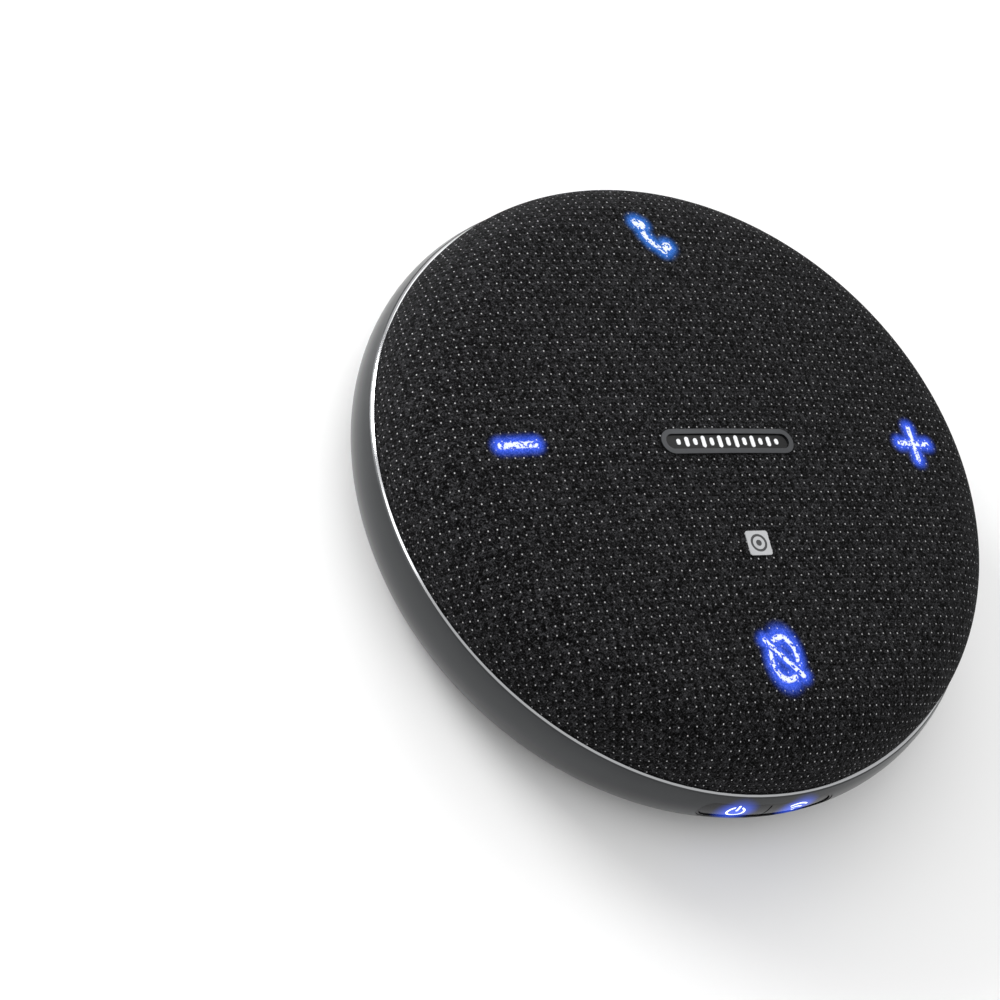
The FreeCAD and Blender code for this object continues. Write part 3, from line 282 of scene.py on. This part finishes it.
def strokeDistance(tree, point, start, end):
    # distance from a point to a straight stroke
    away = addNode(
        tree, "ShaderNodeVectorMath", {"operation": "SUBTRACT"}, {0: point, 1: (*start, 0)}
    ).outputs[0]
    run = Vector(end) - Vector(start)
    along = addNode(
        tree, "ShaderNodeVectorMath", {"operation": "DOT_PRODUCT"},
        {0: away, 1: (*(run / run.length_squared), 0)},
    ).outputs["Value"]
    held = addNode(tree, "ShaderNodeClamp", {}, {"Value": along}).outputs[0]
    nearest = addNode(
        tree, "ShaderNodeVectorMath", {"operation": "SCALE"}, {0: (*run, 0), "Scale": held}
    ).outputs[0]
    return addNode(
        tree, "ShaderNodeVectorMath", {"operation": "DISTANCE"}, {0: away, 1: nearest}
    ).outputs["Value"]


def symbolDistance(tree, place, symbol):
    # distance outside the symbol's strokes, in millimetres, less than nothing inside them
    centred = addNode(
        tree, "ShaderNodeVectorMath", {"operation": "MULTIPLY_ADD"},
        {0: place, 1: (1, 1, 0), 2: (-symbol["middle"][0], -symbol["middle"][1], 0)},
    ).outputs[0]
    nearest = None
    for start, end, half in symbol["strokes"]:
        toStroke = addNode(
            tree, "ShaderNodeMath", {"operation": "SUBTRACT"},
            {0: strokeDistance(tree, centred, start, end), 1: half},
        ).outputs[0]
        nearest = toStroke if nearest is None else addNode(
            tree, "ShaderNodeMath", {"operation": "MINIMUM"}, {0: nearest, 1: toStroke}
        ).outputs[0]
    if "ring" not in symbol:
        return nearest
    halfWide, halfTall, half = symbol["ring"]
    rounded = addNode(
        tree, "ShaderNodeVectorMath", {"operation": "MULTIPLY"},
        {0: centred, 1: (1 / halfWide, 1 / halfTall, 0)},
    ).outputs[0]
    radius = addNode(tree, "ShaderNodeVectorMath", {"operation": "LENGTH"}, {0: rounded}).outputs["Value"]
    offRing = addNode(
        tree, "ShaderNodeMath", {"operation": "MULTIPLY_ADD"}, {0: radius, 1: halfWide, 2: -halfWide}
    ).outputs[0]
    ringDistance = addNode(tree, "ShaderNodeMath", {"operation": "ABSOLUTE"}, {0: offRing}).outputs[0]
    ringEdge = addNode(
        tree, "ShaderNodeMath", {"operation": "SUBTRACT"}, {0: ringDistance, 1: half}
    ).outputs[0]
    # the ring stops short of the slash on both sides
    gap = addNode(
        tree, "ShaderNodeMath", {"operation": "SUBTRACT"}, {0: glow["slashGap"], 1: nearest}
    ).outputs[0]
    cutRing = addNode(tree, "ShaderNodeMath", {"operation": "MAXIMUM"}, {0: ringEdge, 1: gap}).outputs[0]
    return addNode(tree, "ShaderNodeMath", {"operation": "MINIMUM"}, {0: nearest, 1: cutRing}).outputs[0]


# Woven charcoal cloth: dark heather yarn, and at every second crossing a painted highlight, a pale glint on
# the raised yarn, with a painted shadow beside it

weave = {
    "glintPitch": 1.68,  # pale painted highlights, both ways
    "yarn": 0.84,  # yarn spacing, two to a highlight
    "glintHalf": (0.125, 0.15),
    "glintTilt": 0.35,  # radians
    "pitShadeHalf": (0.2, 0.28),
    "pitShadeAside": (0.24, 0.03),  # where the painted shadow sits from the highlight, as a share of the pitch
    "jitter": 0.12,  # how far a highlight strays, as a share of the pitch
    "seed": 3.0,
    "dark": "#030303",
    "light": "#39393B",
    # the next two colours: a painted highlight on each raised crossing, then the painted shadow beside it
    "raisedGlint": "#E4E4E6",
    "pitShade": "#0B0B0C",
    "blotch": 1.2,
    "fibre": 0.25,  # a bundle of fibres: single ones are too fine to show
    "fibreLength": 2.4,
    "slants": (40, -38),  # degrees, the twist of one yarn and the other
    "contrast": 3.8,  # between light and dark fibres
    "relief": 0.22,  # height of the yarn crowns
    "rough": 0.85,
}


def latticeSpot(tree, cell, inCell, aside, half):
    # a small oval in each cell, set off its middle by chance: returns its mask and the cell's chance value
    seed = weave["seed"]
    jitter = weave["jitter"]
    chance = addNode(
        tree, "ShaderNodeTexWhiteNoise", {"noise_dimensions": "3D"},
        {"Vector": addNode(
            tree, "ShaderNodeVectorMath", {"operation": "ADD"}, {0: cell, 1: (seed, seed * 2.0, seed * 3.0)}
        ).outputs[0]},
    )
    nudge = addNode(
        tree, "ShaderNodeVectorMath", {"operation": "MULTIPLY_ADD"},
        {
            0: chance.outputs["Color"], 1: (jitter, jitter, 0),
            2: (-0.5 - jitter / 2 - aside[0], -0.5 - jitter / 2 - aside[1], 0),
        },
    ).outputs[0]
    centred = addNode(tree, "ShaderNodeVectorMath", {"operation": "ADD"}, {0: inCell, 1: nudge}).outputs[0]
    turned = addNode(
        tree, "ShaderNodeMapping", {},
        {
            "Vector": centred, "Rotation": (0, 0, weave["glintTilt"]),
            "Scale": (weave["glintPitch"] / half[0], weave["glintPitch"] / half[1], 0),
        },
    ).outputs[0]
    reach = addNode(tree, "ShaderNodeVectorMath", {"operation": "LENGTH"}, {0: turned}).outputs["Value"]
    spot = addNode(
        tree, "ShaderNodeMapRange", {"interpolation_type": "SMOOTHSTEP"},
        {"Value": reach, "From Min": 0.5, "From Max": 1.35, "To Min": 1.0, "To Max": 0.0},
    ).outputs[0]
    return spot, chance.outputs["Value"]


def makeClothMaterial():
    # dull, near black heather with a grid of pale specks, each a painted highlight with a painted shadow
    # beside it, and a painted blue glow coming up through the gaps
    material, tree, shader = startMaterial("woven charcoal polyester, heather yarn", weave["rough"])
    threads = addNode(tree, "ShaderNodeUVMap", {"uv_map": "threads"}).outputs[0]
    perGlint = addNode(
        tree, "ShaderNodeVectorMath", {"operation": "SCALE"},
        {0: threads, "Scale": 1 / (weave["glintPitch"] * mm)},
    ).outputs[0]
    cell = addNode(tree, "ShaderNodeVectorMath", {"operation": "FLOOR"}, {0: perGlint}).outputs[0]
    inCell = addNode(tree, "ShaderNodeVectorMath", {"operation": "FRACTION"}, {0: perGlint}).outputs[0]
    raisedGlint, glintChance = latticeSpot(tree, cell, inCell, (0, 0), weave["glintHalf"])
    pitShade = latticeSpot(tree, cell, inCell, weave["pitShadeAside"], weave["pitShadeHalf"])[0]

    # yarns: over and under by turns, each crossing a little lighter or darker
    perYarn = addNode(
        tree, "ShaderNodeVectorMath", {"operation": "SCALE"},
        {0: threads, "Scale": 1 / (weave["yarn"] * mm)},
    ).outputs[0]
    yarnCell = addNode(tree, "ShaderNodeVectorMath", {"operation": "FLOOR"}, {0: perYarn}).outputs[0]
    yarnChance = addNode(
        tree, "ShaderNodeTexWhiteNoise", {"noise_dimensions": "3D"}, {"Vector": yarnCell}
    ).outputs["Value"]
    arch = addNode(
        tree, "ShaderNodeVectorMath", {"operation": "SINE"},
        {0: addNode(
            tree, "ShaderNodeVectorMath", {"operation": "SCALE"}, {0: perYarn, "Scale": math.pi}
        ).outputs[0]},
    ).outputs[0]
    crown = addNode(tree, "ShaderNodeVectorMath", {"operation": "ABSOLUTE"}, {0: arch}).outputs[0]
    crownParts = addNode(tree, "ShaderNodeSeparateXYZ", {}, {0: crown})
    turn = addNode(tree, "ShaderNodeSeparateXYZ", {}, {0: yarnCell})
    both = addNode(
        tree, "ShaderNodeMath", {"operation": "ADD"}, {0: turn.outputs[0], 1: turn.outputs[1]}
    ).outputs[0]
    over = addNode(tree, "ShaderNodeMath", {"operation": "FLOORED_MODULO"}, {0: both, 1: 2.0}).outputs[0]
    yarnHeight = addNode(
        tree, "ShaderNodeMix", {"data_type": "FLOAT"},
        {0: over, 2: crownParts.outputs[0], 3: crownParts.outputs[1]},
    ).outputs[0]

    # heather: soft blotches, and fibres that run along either yarn
    blotch = addNode(
        tree, "ShaderNodeTexNoise", {},
        {"Vector": threads, "Scale": 1 / (weave["blotch"] * mm), "Detail": 3.0},
    ).outputs["Fac"]
    fibres = []
    for slant in weave["slants"]:
        laid = addNode(
            tree, "ShaderNodeMapping", {"vector_type": "TEXTURE"},
            {
                "Vector": threads, "Rotation": (0, 0, math.radians(slant)),
                "Scale": (weave["fibreLength"], 1, 1),
            },
        ).outputs[0]
        fibres.append(addNode(
            tree, "ShaderNodeTexNoise", {},
            {"Vector": laid, "Scale": 1 / (weave["fibre"] * mm), "Detail": 3.0, "Roughness": 0.7},
        ).outputs["Fac"])
    fibre = addNode(
        tree, "ShaderNodeMix", {"data_type": "FLOAT"}, {0: over, 2: fibres[0], 3: fibres[1]}
    ).outputs[0]
    heather = addNode(
        tree, "ShaderNodeMath", {"operation": "MULTIPLY_ADD"},
        {0: fibre, 1: weave["contrast"], 2: -weave["contrast"] / 2},
    ).outputs[0]
    heather = addNode(
        tree, "ShaderNodeMath", {"operation": "MULTIPLY_ADD"}, {0: yarnChance, 1: 0.35, 2: heather}
    ).outputs[0]
    heather = addNode(
        tree, "ShaderNodeMath", {"operation": "MULTIPLY_ADD", "use_clamp": True},
        {0: blotch, 1: 0.7, 2: heather},
    ).outputs[0]
    shade = addNode(
        tree, "ShaderNodeMapRange", {}, {"Value": heather, "From Min": 0.42, "From Max": 1.0}
    ).outputs[0]
    yarnColour = blendColours(tree, shade, weave["dark"], weave["light"])

    # painted shadow in the pit beside each highlight, then the painted highlight itself
    pitShadeMask = addNode(tree, "ShaderNodeMath", {"operation": "MULTIPLY"}, {0: pitShade, 1: 0.75}).outputs[0]
    pitShaded = blendColours(tree, pitShadeMask, yarnColour, weave["pitShade"])
    glintBrightness = addNode(
        tree, "ShaderNodeMapRange", {},
        {"Value": glintChance, "From Min": 0.0, "From Max": 1.0, "To Min": 0.12, "To Max": 1.0},
    ).outputs[0]
    glintMask = addNode(tree, "ShaderNodeMath", {"operation": "MULTIPLY"}, {0: raisedGlint, 1: glintBrightness}).outputs[0]
    colour = blendColours(tree, glintMask, pitShaded, weave["raisedGlint"])
    tree.links.new(colour, shader.inputs["Base Color"])

    # relief: yarn crowns, fibres, raised crossings under the painted highlights and sunk pits under the
    # painted shadows
    relief = addNode(
        tree, "ShaderNodeMath", {"operation": "MULTIPLY_ADD"}, {0: fibre, 1: 0.7, 2: yarnHeight}
    ).outputs[0]
    relief = addNode(
        tree, "ShaderNodeMath", {"operation": "MULTIPLY_ADD"}, {0: raisedGlint, 1: 0.6, 2: relief}
    ).outputs[0]
    relief = addNode(
        tree, "ShaderNodeMath", {"operation": "MULTIPLY_ADD"}, {0: pitShade, 1: -0.7, 2: relief}
    ).outputs[0]
    bump = addNode(
        tree, "ShaderNodeBump", {}, {"Strength": 0.9, "Distance": weave["relief"] * mm, "Height": relief}
    ).outputs[0]
    tree.links.new(bump, shader.inputs["Normal"])
    shader.inputs["Sheen Weight"].default_value = 0.005
    shader.inputs["Sheen Roughness"].default_value = 0.5
    shader.inputs["Specular IOR Level"].default_value = 0.04

    # painted glow: light from the guides below, coming up between the yarns, is painted as emission on the
    # cloth, white strokes in a blue halo
    place = addNode(tree, "ShaderNodeTexCoord").outputs["Object"]
    inMm = addNode(
        tree, "ShaderNodeVectorMath", {"operation": "SCALE"}, {0: place, "Scale": 1 / mm}
    ).outputs[0]
    speckle = addNode(
        tree, "ShaderNodeTexNoise", {},
        {"Vector": threads, "Scale": 1 / (glow["speckle"] * mm), "Detail": 3.0, "Roughness": 0.6},
    ).outputs["Fac"]
    gaps = addNode(
        tree, "ShaderNodeMapRange", {"interpolation_type": "SMOOTHSTEP"},
        {"Value": speckle, "From Min": 0.44, "From Max": 0.49},
    ).outputs[0]
    light = None
    for name, symbol in symbols.items():
        edge = symbolDistance(tree, inMm, symbol)
        ragged = addNode(
            tree, "ShaderNodeMath", {"operation": "MULTIPLY_ADD"}, {0: speckle, 1: 0.9, 2: edge}
        ).outputs[0]
        stroke = addNode(
            tree, "ShaderNodeMapRange", {"interpolation_type": "SMOOTHSTEP"},
            {"Value": ragged, "From Min": 0.4, "From Max": 0.6, "To Min": 1.0, "To Max": 0.0},
        ).outputs[0]
        lit = addNode(tree, "ShaderNodeMath", {"operation": "MULTIPLY"}, {0: stroke, 1: gaps}).outputs[0]
        halo = addNode(
            tree, "ShaderNodeMapRange", {"interpolation_type": "SMOOTHSTEP"},
            {"Value": edge, "From Min": 0.2, "From Max": glow["reach"], "To Min": 1.0, "To Max": 0.0},
        ).outputs[0]
        fading = addNode(
            tree, "ShaderNodeMath", {"operation": "POWER"}, {0: halo, 1: glow["fade"]}
        ).outputs[0]
        haloTint = addNode(
            tree, "ShaderNodeMath", {"operation": "MULTIPLY"},
            {0: fading, 1: addNode(
                tree, "ShaderNodeMapRange", {}, {"Value": heather, "To Min": 0.55, "To Max": 1.0}
            ).outputs[0]},
        ).outputs[0]
        blue = blendColours(tree, haloTint, "#000000", glow[symbol["colour"]])
        shown = blendColours(tree, lit, blue, glow["white"])
        light = shown if light is None else addNode(
            tree, "ShaderNodeMix", {"data_type": "RGBA", "blend_type": "ADD"}, {0: 1.0, 6: light, 7: shown}
        ).outputs[2]
    tree.links.new(light, shader.inputs["Emission Color"])
    shader.inputs["Emission Strength"].default_value = glow["strength"]
    return material


cover = makeCloth()
cover.data.materials.append(makeClothMaterial())
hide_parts("fabric_cover")
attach(cover, "housing")
print("cloth cover made")


# Painted glow: blue light from the two key symbols, painted as emission on the band and the keys around them

paintedKeyGlow = {
    "middles": ((-6.7, 11.0), (6.7, 11.0)),  # x and z of the symbols
    "faceY": -64.4,
    "near": 0.6,
    "reach": 5.0,
    "strength": 0.9,
}


# painted glow: blue emission painted on the surface, strongest near each key symbol and fading with distance
def addPaintedKeyGlow(tree, shader, place):
    inMm = addNode(
        tree, "ShaderNodeVectorMath", {"operation": "SCALE"}, {0: place, "Scale": 1 / mm}
    ).outputs[0]
    total = None
    for x, z in paintedKeyGlow["middles"]:
        away = addNode(
            tree, "ShaderNodeVectorMath", {"operation": "DISTANCE"}, {0: inMm, 1: (x, paintedKeyGlow["faceY"], z)}
        ).outputs["Value"]
        near = addNode(
            tree, "ShaderNodeMapRange", {"interpolation_type": "SMOOTHSTEP"},
            {
                "Value": away, "From Min": paintedKeyGlow["near"], "From Max": paintedKeyGlow["reach"],
                "To Min": 1.0, "To Max": 0.0,
            },
        ).outputs[0]
        total = near if total is None else addNode(
            tree, "ShaderNodeMath", {"operation": "ADD"}, {0: total, 1: near}
        ).outputs[0]
    tree.links.new(blendColours(tree, total, "#000000", glow["blue"]), shader.inputs["Emission Color"])
    shader.inputs["Emission Strength"].default_value = paintedKeyGlow["strength"]


# Metal band

band = {
    # high and low: painted shade, darker near the rim and paler low on the side
    "high": "#404142",
    "low": "#565758",
    "edge": "#B5B6B8",
    "rough": 0.3,
    "edgeRough": 0.12,
    "chamferZ": 15.72,  # the cut edge starts here
    "chamferBlur": 0.02,
    "paintedShadeZ": (15.4, 9.0),  # painted shade: the metal is darkest at the first height and pales down to the second
    "grit": 0.12,  # bead blasting
    "cloud": 9,
}


def makeBandMaterial():
    # anodised aluminium, bead blasted: soft wide highlights, and a bright diamond-cut edge at the rim
    material, tree, shader = startMaterial(
        "anodised aluminium, bead blasted, diamond-cut rim", band["rough"], 1.0
    )
    place = addNode(tree, "ShaderNodeTexCoord").outputs["Object"]
    height = addNode(tree, "ShaderNodeSeparateXYZ", {}, {0: place}).outputs[2]
    cut = addNode(
        tree, "ShaderNodeMapRange", {},
        {
            "Value": height, "From Min": (band["chamferZ"] - band["chamferBlur"]) * mm,
            "From Max": (band["chamferZ"] + band["chamferBlur"]) * mm,
        },
    ).outputs[0]
    grit = addNode(
        tree, "ShaderNodeTexNoise", {}, {"Vector": place, "Scale": 1 / (band["grit"] * mm), "Detail": 2.0}
    ).outputs["Fac"]
    cloud = addNode(
        tree, "ShaderNodeTexNoise", {}, {"Vector": place, "Scale": 1 / (band["cloud"] * mm), "Detail": 2.0}
    ).outputs["Fac"]
    # painted shade: the metal's colour is darker near the rim and paler low on the side
    low = addNode(
        tree, "ShaderNodeMapRange", {},
        {"Value": height, "From Min": band["paintedShadeZ"][0] * mm, "From Max": band["paintedShadeZ"][1] * mm},
    ).outputs[0]
    metal = blendColours(tree, low, band["high"], band["low"])
    clouds = addNode(tree, "ShaderNodeMapRange", {}, {"Value": cloud, "To Max": 0.2}).outputs[0]
    metal = blendColours(tree, clouds, metal, band["low"])
    tree.links.new(blendColours(tree, cut, metal, band["edge"]), shader.inputs["Base Color"])
    rough = addNode(
        tree, "ShaderNodeMapRange", {}, {"Value": cut, "To Min": band["rough"], "To Max": band["edgeRough"]}
    ).outputs[0]
    tree.links.new(rough, shader.inputs["Roughness"])
    strength = addNode(
        tree, "ShaderNodeMapRange", {}, {"Value": cut, "To Min": 0.12, "To Max": 0.0}
    ).outputs[0]
    bump = addNode(
        tree, "ShaderNodeBump", {}, {"Strength": strength, "Distance": 0.02 * mm, "Height": grit}
    ).outputs[0]
    tree.links.new(bump, shader.inputs["Normal"])
    # painted glow from the key symbols on the band
    addPaintedKeyGlow(tree, shader, place)
    return material


paint("side_band", makeBandMaterial())
print("band finished")


# Keys

key = {"dark": "#0D0D0E", "light": "#131314", "rough": 0.24, "peel": 1.2, "ior": 1.53, "specular": 0.3}


def makeKeyMaterial():
    # glossy black ABS, injection moulded: clear narrow reflections over a very faint orange peel
    material, tree, shader = startMaterial("black ABS, glossy moulded", key["rough"])
    place = addNode(tree, "ShaderNodeTexCoord").outputs["Object"]
    peel = addNode(
        tree, "ShaderNodeTexNoise", {}, {"Vector": place, "Scale": 1 / (key["peel"] * mm), "Detail": 1.0}
    ).outputs["Fac"]
    tree.links.new(blendColours(tree, peel, key["dark"], key["light"]), shader.inputs["Base Color"])
    bump = addNode(
        tree, "ShaderNodeBump", {}, {"Strength": 0.05, "Distance": 0.05 * mm, "Height": peel}
    ).outputs[0]
    tree.links.new(bump, shader.inputs["Normal"])
    shader.inputs["IOR"].default_value = key["ior"]
    shader.inputs["Specular IOR Level"].default_value = key["specular"]
    # painted glow from the key symbols on the key bodies
    addPaintedKeyGlow(tree, shader, place)
    return material


keyMaterial = makeKeyMaterial()
for keyPart in ("power_key", "wireless_key", "key_bezel"):
    paint(keyPart, keyMaterial)


keySymbol = {
    "dark": "#E4EEFF", "light": "#FFFFFF", "glowDark": "#CFE0FF", "glowLight": "#F4F8FF", "cloud": 0.8,
    "strength": 1.3, "ior": 1.58,
}


def makeLitSymbolMaterial():
    # clear polycarbonate over a lamp: white light with a blue edge
    material, tree, shader = startMaterial("frosted polycarbonate, lit from behind", 0.35)
    place = addNode(tree, "ShaderNodeTexCoord").outputs["Object"]
    cloud = addNode(
        tree, "ShaderNodeTexNoise", {},
        {"Vector": place, "Scale": 1 / (keySymbol["cloud"] * mm), "Detail": 1.0},
    ).outputs["Fac"]
    body = blendColours(tree, cloud, keySymbol["dark"], keySymbol["light"])
    tree.links.new(body, shader.inputs["Base Color"])
    light = blendColours(tree, cloud, keySymbol["glowDark"], keySymbol["glowLight"])
    tree.links.new(light, shader.inputs["Emission Color"])
    shader.inputs["Emission Strength"].default_value = keySymbol["strength"]
    shader.inputs["IOR"].default_value = keySymbol["ior"]
    return material


litSymbol = makeLitSymbolMaterial()
for symbolPart in ("power_symbol", "wireless_symbol"):
    paint(symbolPart, litSymbol)
print("keys finished")


# Every other finish, by the record's material slot. Above each is what it gives the eye.

finishes = {
    # soft grey sheen broken up by a fine sparkle
    "black_plastic": ("black ABS, fine spark texture", {
        "dark": "#161617", "light": "#1E1E20", "roughness": 0.55, "patch": 14, "grain": 0.25, "relief": 0.35,
        "shader": {"IOR": 1.53},
    }),
    # dead flat black, no clear highlight
    "foot_rubber": ("matt silicone rubber, moulded", {
        "dark": "#141415", "light": "#1B1B1C", "roughness": 0.8, "patch": 6, "grain": 0.18, "relief": 0.25,
        "shader": {"IOR": 1.41},
    }),
    # dark satin metal with a soft even highlight
    "badge_bezel": ("anodised aluminium, satin, cut edge", {
        "dark": "#454648", "light": "#505153", "roughness": 0.38, "metallic": 1.0, "patch": 4, "grain": 0.06,
        "relief": 0.1,
    }),
    # deep black with small sharp reflections
    "badge_plate": ("black PMMA, polished", {
        "dark": "#0B0B0C", "light": "#101011", "roughness": 0.25, "patch": 5, "grain": 1.5, "relief": 0.03,
        "drift": 0.02, "shader": {"IOR": 1.49, "Specular IOR Level": 0.25},
    }),
    # flat pale ink, slightly shiny
    "badge_mark": ("light grey pad-printed ink", {
        "dark": "#D9DADC", "light": "#EDEEF0", "roughness": 0.3, "patch": 2, "grain": 0.1, "relief": 0.1,
    }),
    # light grey film with a dull shine
    "tag_film": ("printed polyester film", {
        "dark": "#A3A4A6", "light": "#B2B3B5", "roughness": 0.5, "patch": 2, "grain": 0.12, "relief": 0.1,
        "shader": {"IOR": 1.57},
    }),
    # brown film with a copper glint
    "antenna_film": ("copper track on polyimide film", {
        "dark": "#8A5A24", "light": "#A8733A", "roughness": 0.4, "patch": 2, "grain": 0.1, "relief": 0.1,
    }),
    # milky white, light soaks in a little
    "light_guide": ("opal acrylic, moulded", {
        "dark": "#DDE2EA", "light": "#EEF1F6", "roughness": 0.35, "patch": 3, "grain": 0.2, "relief": 0.1,
        "shader": {"IOR": 1.49, "Subsurface Weight": 0.3, "Subsurface Radius": (0.002, 0.002, 0.0025)},
    }),
    # dark green under a thin shiny lacquer
    "circuit_board": ("green solder mask over glass laminate", {
        "dark": "#0B3320", "light": "#12452C", "roughness": 0.35, "patch": 3, "grain": 0.3, "relief": 0.2,
        "shader": {"IOR": 1.55},
    }),
    # pale straw resin, smooth
    "lamp": ("amber epoxy lamp body", {
        "dark": "#D8CF9C", "light": "#EBE4BC", "roughness": 0.35, "patch": 0.8, "grain": 0.08, "relief": 0.1,
    }),
    # dull black, faintly pitted
    "chip_black": ("black epoxy mould compound", {
        "dark": "#151516", "light": "#1F1F20", "roughness": 0.6, "patch": 1.5, "grain": 0.08, "relief": 0.3,
    }),
    # warm off-white, waxy
    "white_nylon": ("natural nylon 66, moulded", {
        "dark": "#D9D5CA", "light": "#E8E5DC", "roughness": 0.5, "patch": 2, "grain": 0.15, "relief": 0.15,
        "shader": {"IOR": 1.53},
    }),
    # bright grey metal, streaked one way
    "tinned_steel": ("tin-plated steel sheet", {
        "dark": "#B4B5B7", "light": "#C6C7C9", "roughness": 0.3, "metallic": 1.0, "patch": 3, "grain": 0.2,
        "relief": 0.15, "stretch": (1, 0.2, 1),
    }),
    # cool grey metal with a soft shine
    "zinc_screw": ("zinc-plated steel screw", {
        "dark": "#A3A6AB", "light": "#B7BABF", "roughness": 0.35, "metallic": 1.0, "patch": 1, "grain": 0.1,
        "relief": 0.2,
    }),
    # dark metal with a blurred highlight
    "pressed_steel": ("pressed steel, black passivated", {
        "dark": "#4A4B4D", "light": "#5C5D60", "roughness": 0.42, "metallic": 1.0, "patch": 8, "grain": 0.2,
        "relief": 0.2,
    }),
    # dull charcoal grey, slightly rough
    "ferrite": ("sintered ferrite, ground", {
        "dark": "#2E2F31", "light": "#3A3B3E", "roughness": 0.7, "patch": 3, "grain": 0.12, "relief": 0.4,
    }),
    # tan and fibrous
    "coil_paper": ("varnished cotton cloth and kraft paper", {
        "dark": "#9A7A4E", "light": "#B3925F", "roughness": 0.7, "patch": 1.5, "grain": 0.35, "relief": 0.5,
    }),
    # red-brown rings with a bright gloss
    "copper": ("enamelled copper wire", {
        "dark": "#9C4E2E", "light": "#C06A42", "roughness": 0.3, "metallic": 1.0, "patch": 0.8, "grain": 0.15,
        "relief": 0.6, "stretch": (0.1, 0.1, 1),
    }),
    # dry fibrous black
    "cone_paper": ("pressed black paper pulp", {
        "dark": "#1C1B1A", "light": "#2C2A28", "roughness": 0.9, "patch": 2, "grain": 0.4, "relief": 0.6,
    }),
    # smooth dull black
    "black_rubber": ("butyl rubber, moulded", {
        "dark": "#171717", "light": "#202020", "roughness": 0.65, "patch": 3, "grain": 0.2, "relief": 0.15,
    }),
    # rough dark grey that takes no highlight
    "foam": ("closed-cell polyethylene foam", {
        "dark": "#242424", "light": "#343434", "roughness": 0.95, "patch": 1, "grain": 0.35, "relief": 0.9,
    }),
    # crinkled dull silver
    "battery_foil": ("heat-sealed aluminium laminate foil", {
        "dark": "#A9ABAE", "light": "#BDBFC2", "roughness": 0.4, "metallic": 1.0, "patch": 5, "grain": 1.6,
        "relief": 0.35,
    }),
    # black with a soft long highlight
    "lead_sleeve": ("black PVC sleeve, extruded", {
        "dark": "#1A1A1B", "light": "#242425", "roughness": 0.5, "patch": 2, "grain": 0.2, "relief": 0.15,
    }),
    # amber film with copper under it
    "flat_link": ("polyimide ribbon with copper tracks", {
        "dark": "#8C5A18", "light": "#B67A2A", "roughness": 0.35, "patch": 1, "grain": 0.3, "relief": 0.2,
    }),
}

# The tag's mark: a dot inside a ring, in millimetres
tag = {"dot": 0.6, "ring": 1.5, "half": 0.24, "ink": "#2C2C2E"}


def printTag(material):
    tree = material.node_tree
    shader = tree.nodes["Principled BSDF"]
    lowest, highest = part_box("tag_mark")
    place = addNode(tree, "ShaderNodeTexCoord").outputs["Object"]
    middle = ((lowest[0] + highest[0]) / 2, (lowest[1] + highest[1]) / 2, 0)
    centred = addNode(
        tree, "ShaderNodeVectorMath", {"operation": "SUBTRACT"}, {0: place, 1: middle}
    ).outputs[0]
    flat = addNode(
        tree, "ShaderNodeVectorMath", {"operation": "MULTIPLY"}, {0: centred, 1: (1 / mm, 1 / mm, 0)}
    ).outputs[0]
    radius = addNode(tree, "ShaderNodeVectorMath", {"operation": "LENGTH"}, {0: flat}).outputs["Value"]
    dot = addNode(tree, "ShaderNodeMath", {"operation": "LESS_THAN"}, {0: radius, 1: tag["dot"]}).outputs[0]
    ring = addNode(
        tree, "ShaderNodeMath", {"operation": "COMPARE"}, {0: radius, 1: tag["ring"], 2: tag["half"]}
    ).outputs[0]
    ink = addNode(tree, "ShaderNodeMath", {"operation": "MAXIMUM"}, {0: dot, 1: ring}).outputs[0]
    film = shader.inputs["Base Color"].links[0].from_socket
    tree.links.new(blendColours(tree, ink, film, tag["ink"]), shader.inputs["Base Color"])


for slotName, (finishName, look) in finishes.items():
    finish = makeFinish(finishName, look)
    if slotName == "tag_film":
        printTag(finish)
    for subpart in frame["record"]["subparts"]:
        if subpart["material_slot"] == slotName:
            paint(subpart["node"], finish)
print("inner parts finished")


# Floor and lights

room = {
    "world": ("#FFFFFF", 0.85),
    "floorDrop": 0.05,  # millimetres under the foot
    # name: (place, what it points at, width and height, spread in degrees, power in watts)
    "lights": {
        "softbox_back": ((0.3, 0.9, 0.75), (0.0, 0.0, 0.01), (1.1, 0.8), 180, 5.0),
        "strip_left": ((-0.75, 0.35, 0.55), (0.0, 0.0, 0.01), (1.0, 0.14), 180, 1.2),
        "wash_left": ((-0.42, 0.52, 0.3), (-0.17, 0.14, 0.0), (0.3, 0.2), 60, 0.55),
    },
}


def makeFloor():
    mesh = bpy.data.meshes.new("floor")
    form = bmesh.new()
    bmesh.ops.create_grid(form, x_segments=1, y_segments=1, size=2.0)
    form.to_mesh(mesh)
    form.free()
    floor = bpy.data.objects.new("floor", mesh)
    floor.location.z = -room["floorDrop"] * mm
    bpy.context.scene.collection.objects.link(floor)
    floor.data.materials.append(makeFinish("matt white paint", {
        "dark": "#EFEFEF", "light": "#F4F4F4", "roughness": 0.6, "patch": 300, "grain": 2, "relief": 0.02,
    }))


makeFloor()
world = bpy.data.worlds.new("studio")
world.use_nodes = True
background = world.node_tree.nodes["Background"]
background.inputs[0].default_value = hexColour(room["world"][0])
background.inputs[1].default_value = room["world"][1]
bpy.context.scene.world = world
for lightName, (place, target, size, spread, power) in room["lights"].items():
    lamp = bpy.data.lights.new(lightName, "AREA")
    lamp.shape = "RECTANGLE"
    lamp.size, lamp.size_y = size
    lamp.spread = math.radians(spread)
    lamp.energy = power
    holder = bpy.data.objects.new(lightName, lamp)
    holder.location = place
    holder.rotation_euler = (Vector(target) - Vector(place)).to_track_quat("-Z", "Y").to_euler()
    bpy.context.scene.collection.objects.link(holder)
print("floor and lights set")

# Last update of the view layer

bpy.context.view_layer.update()
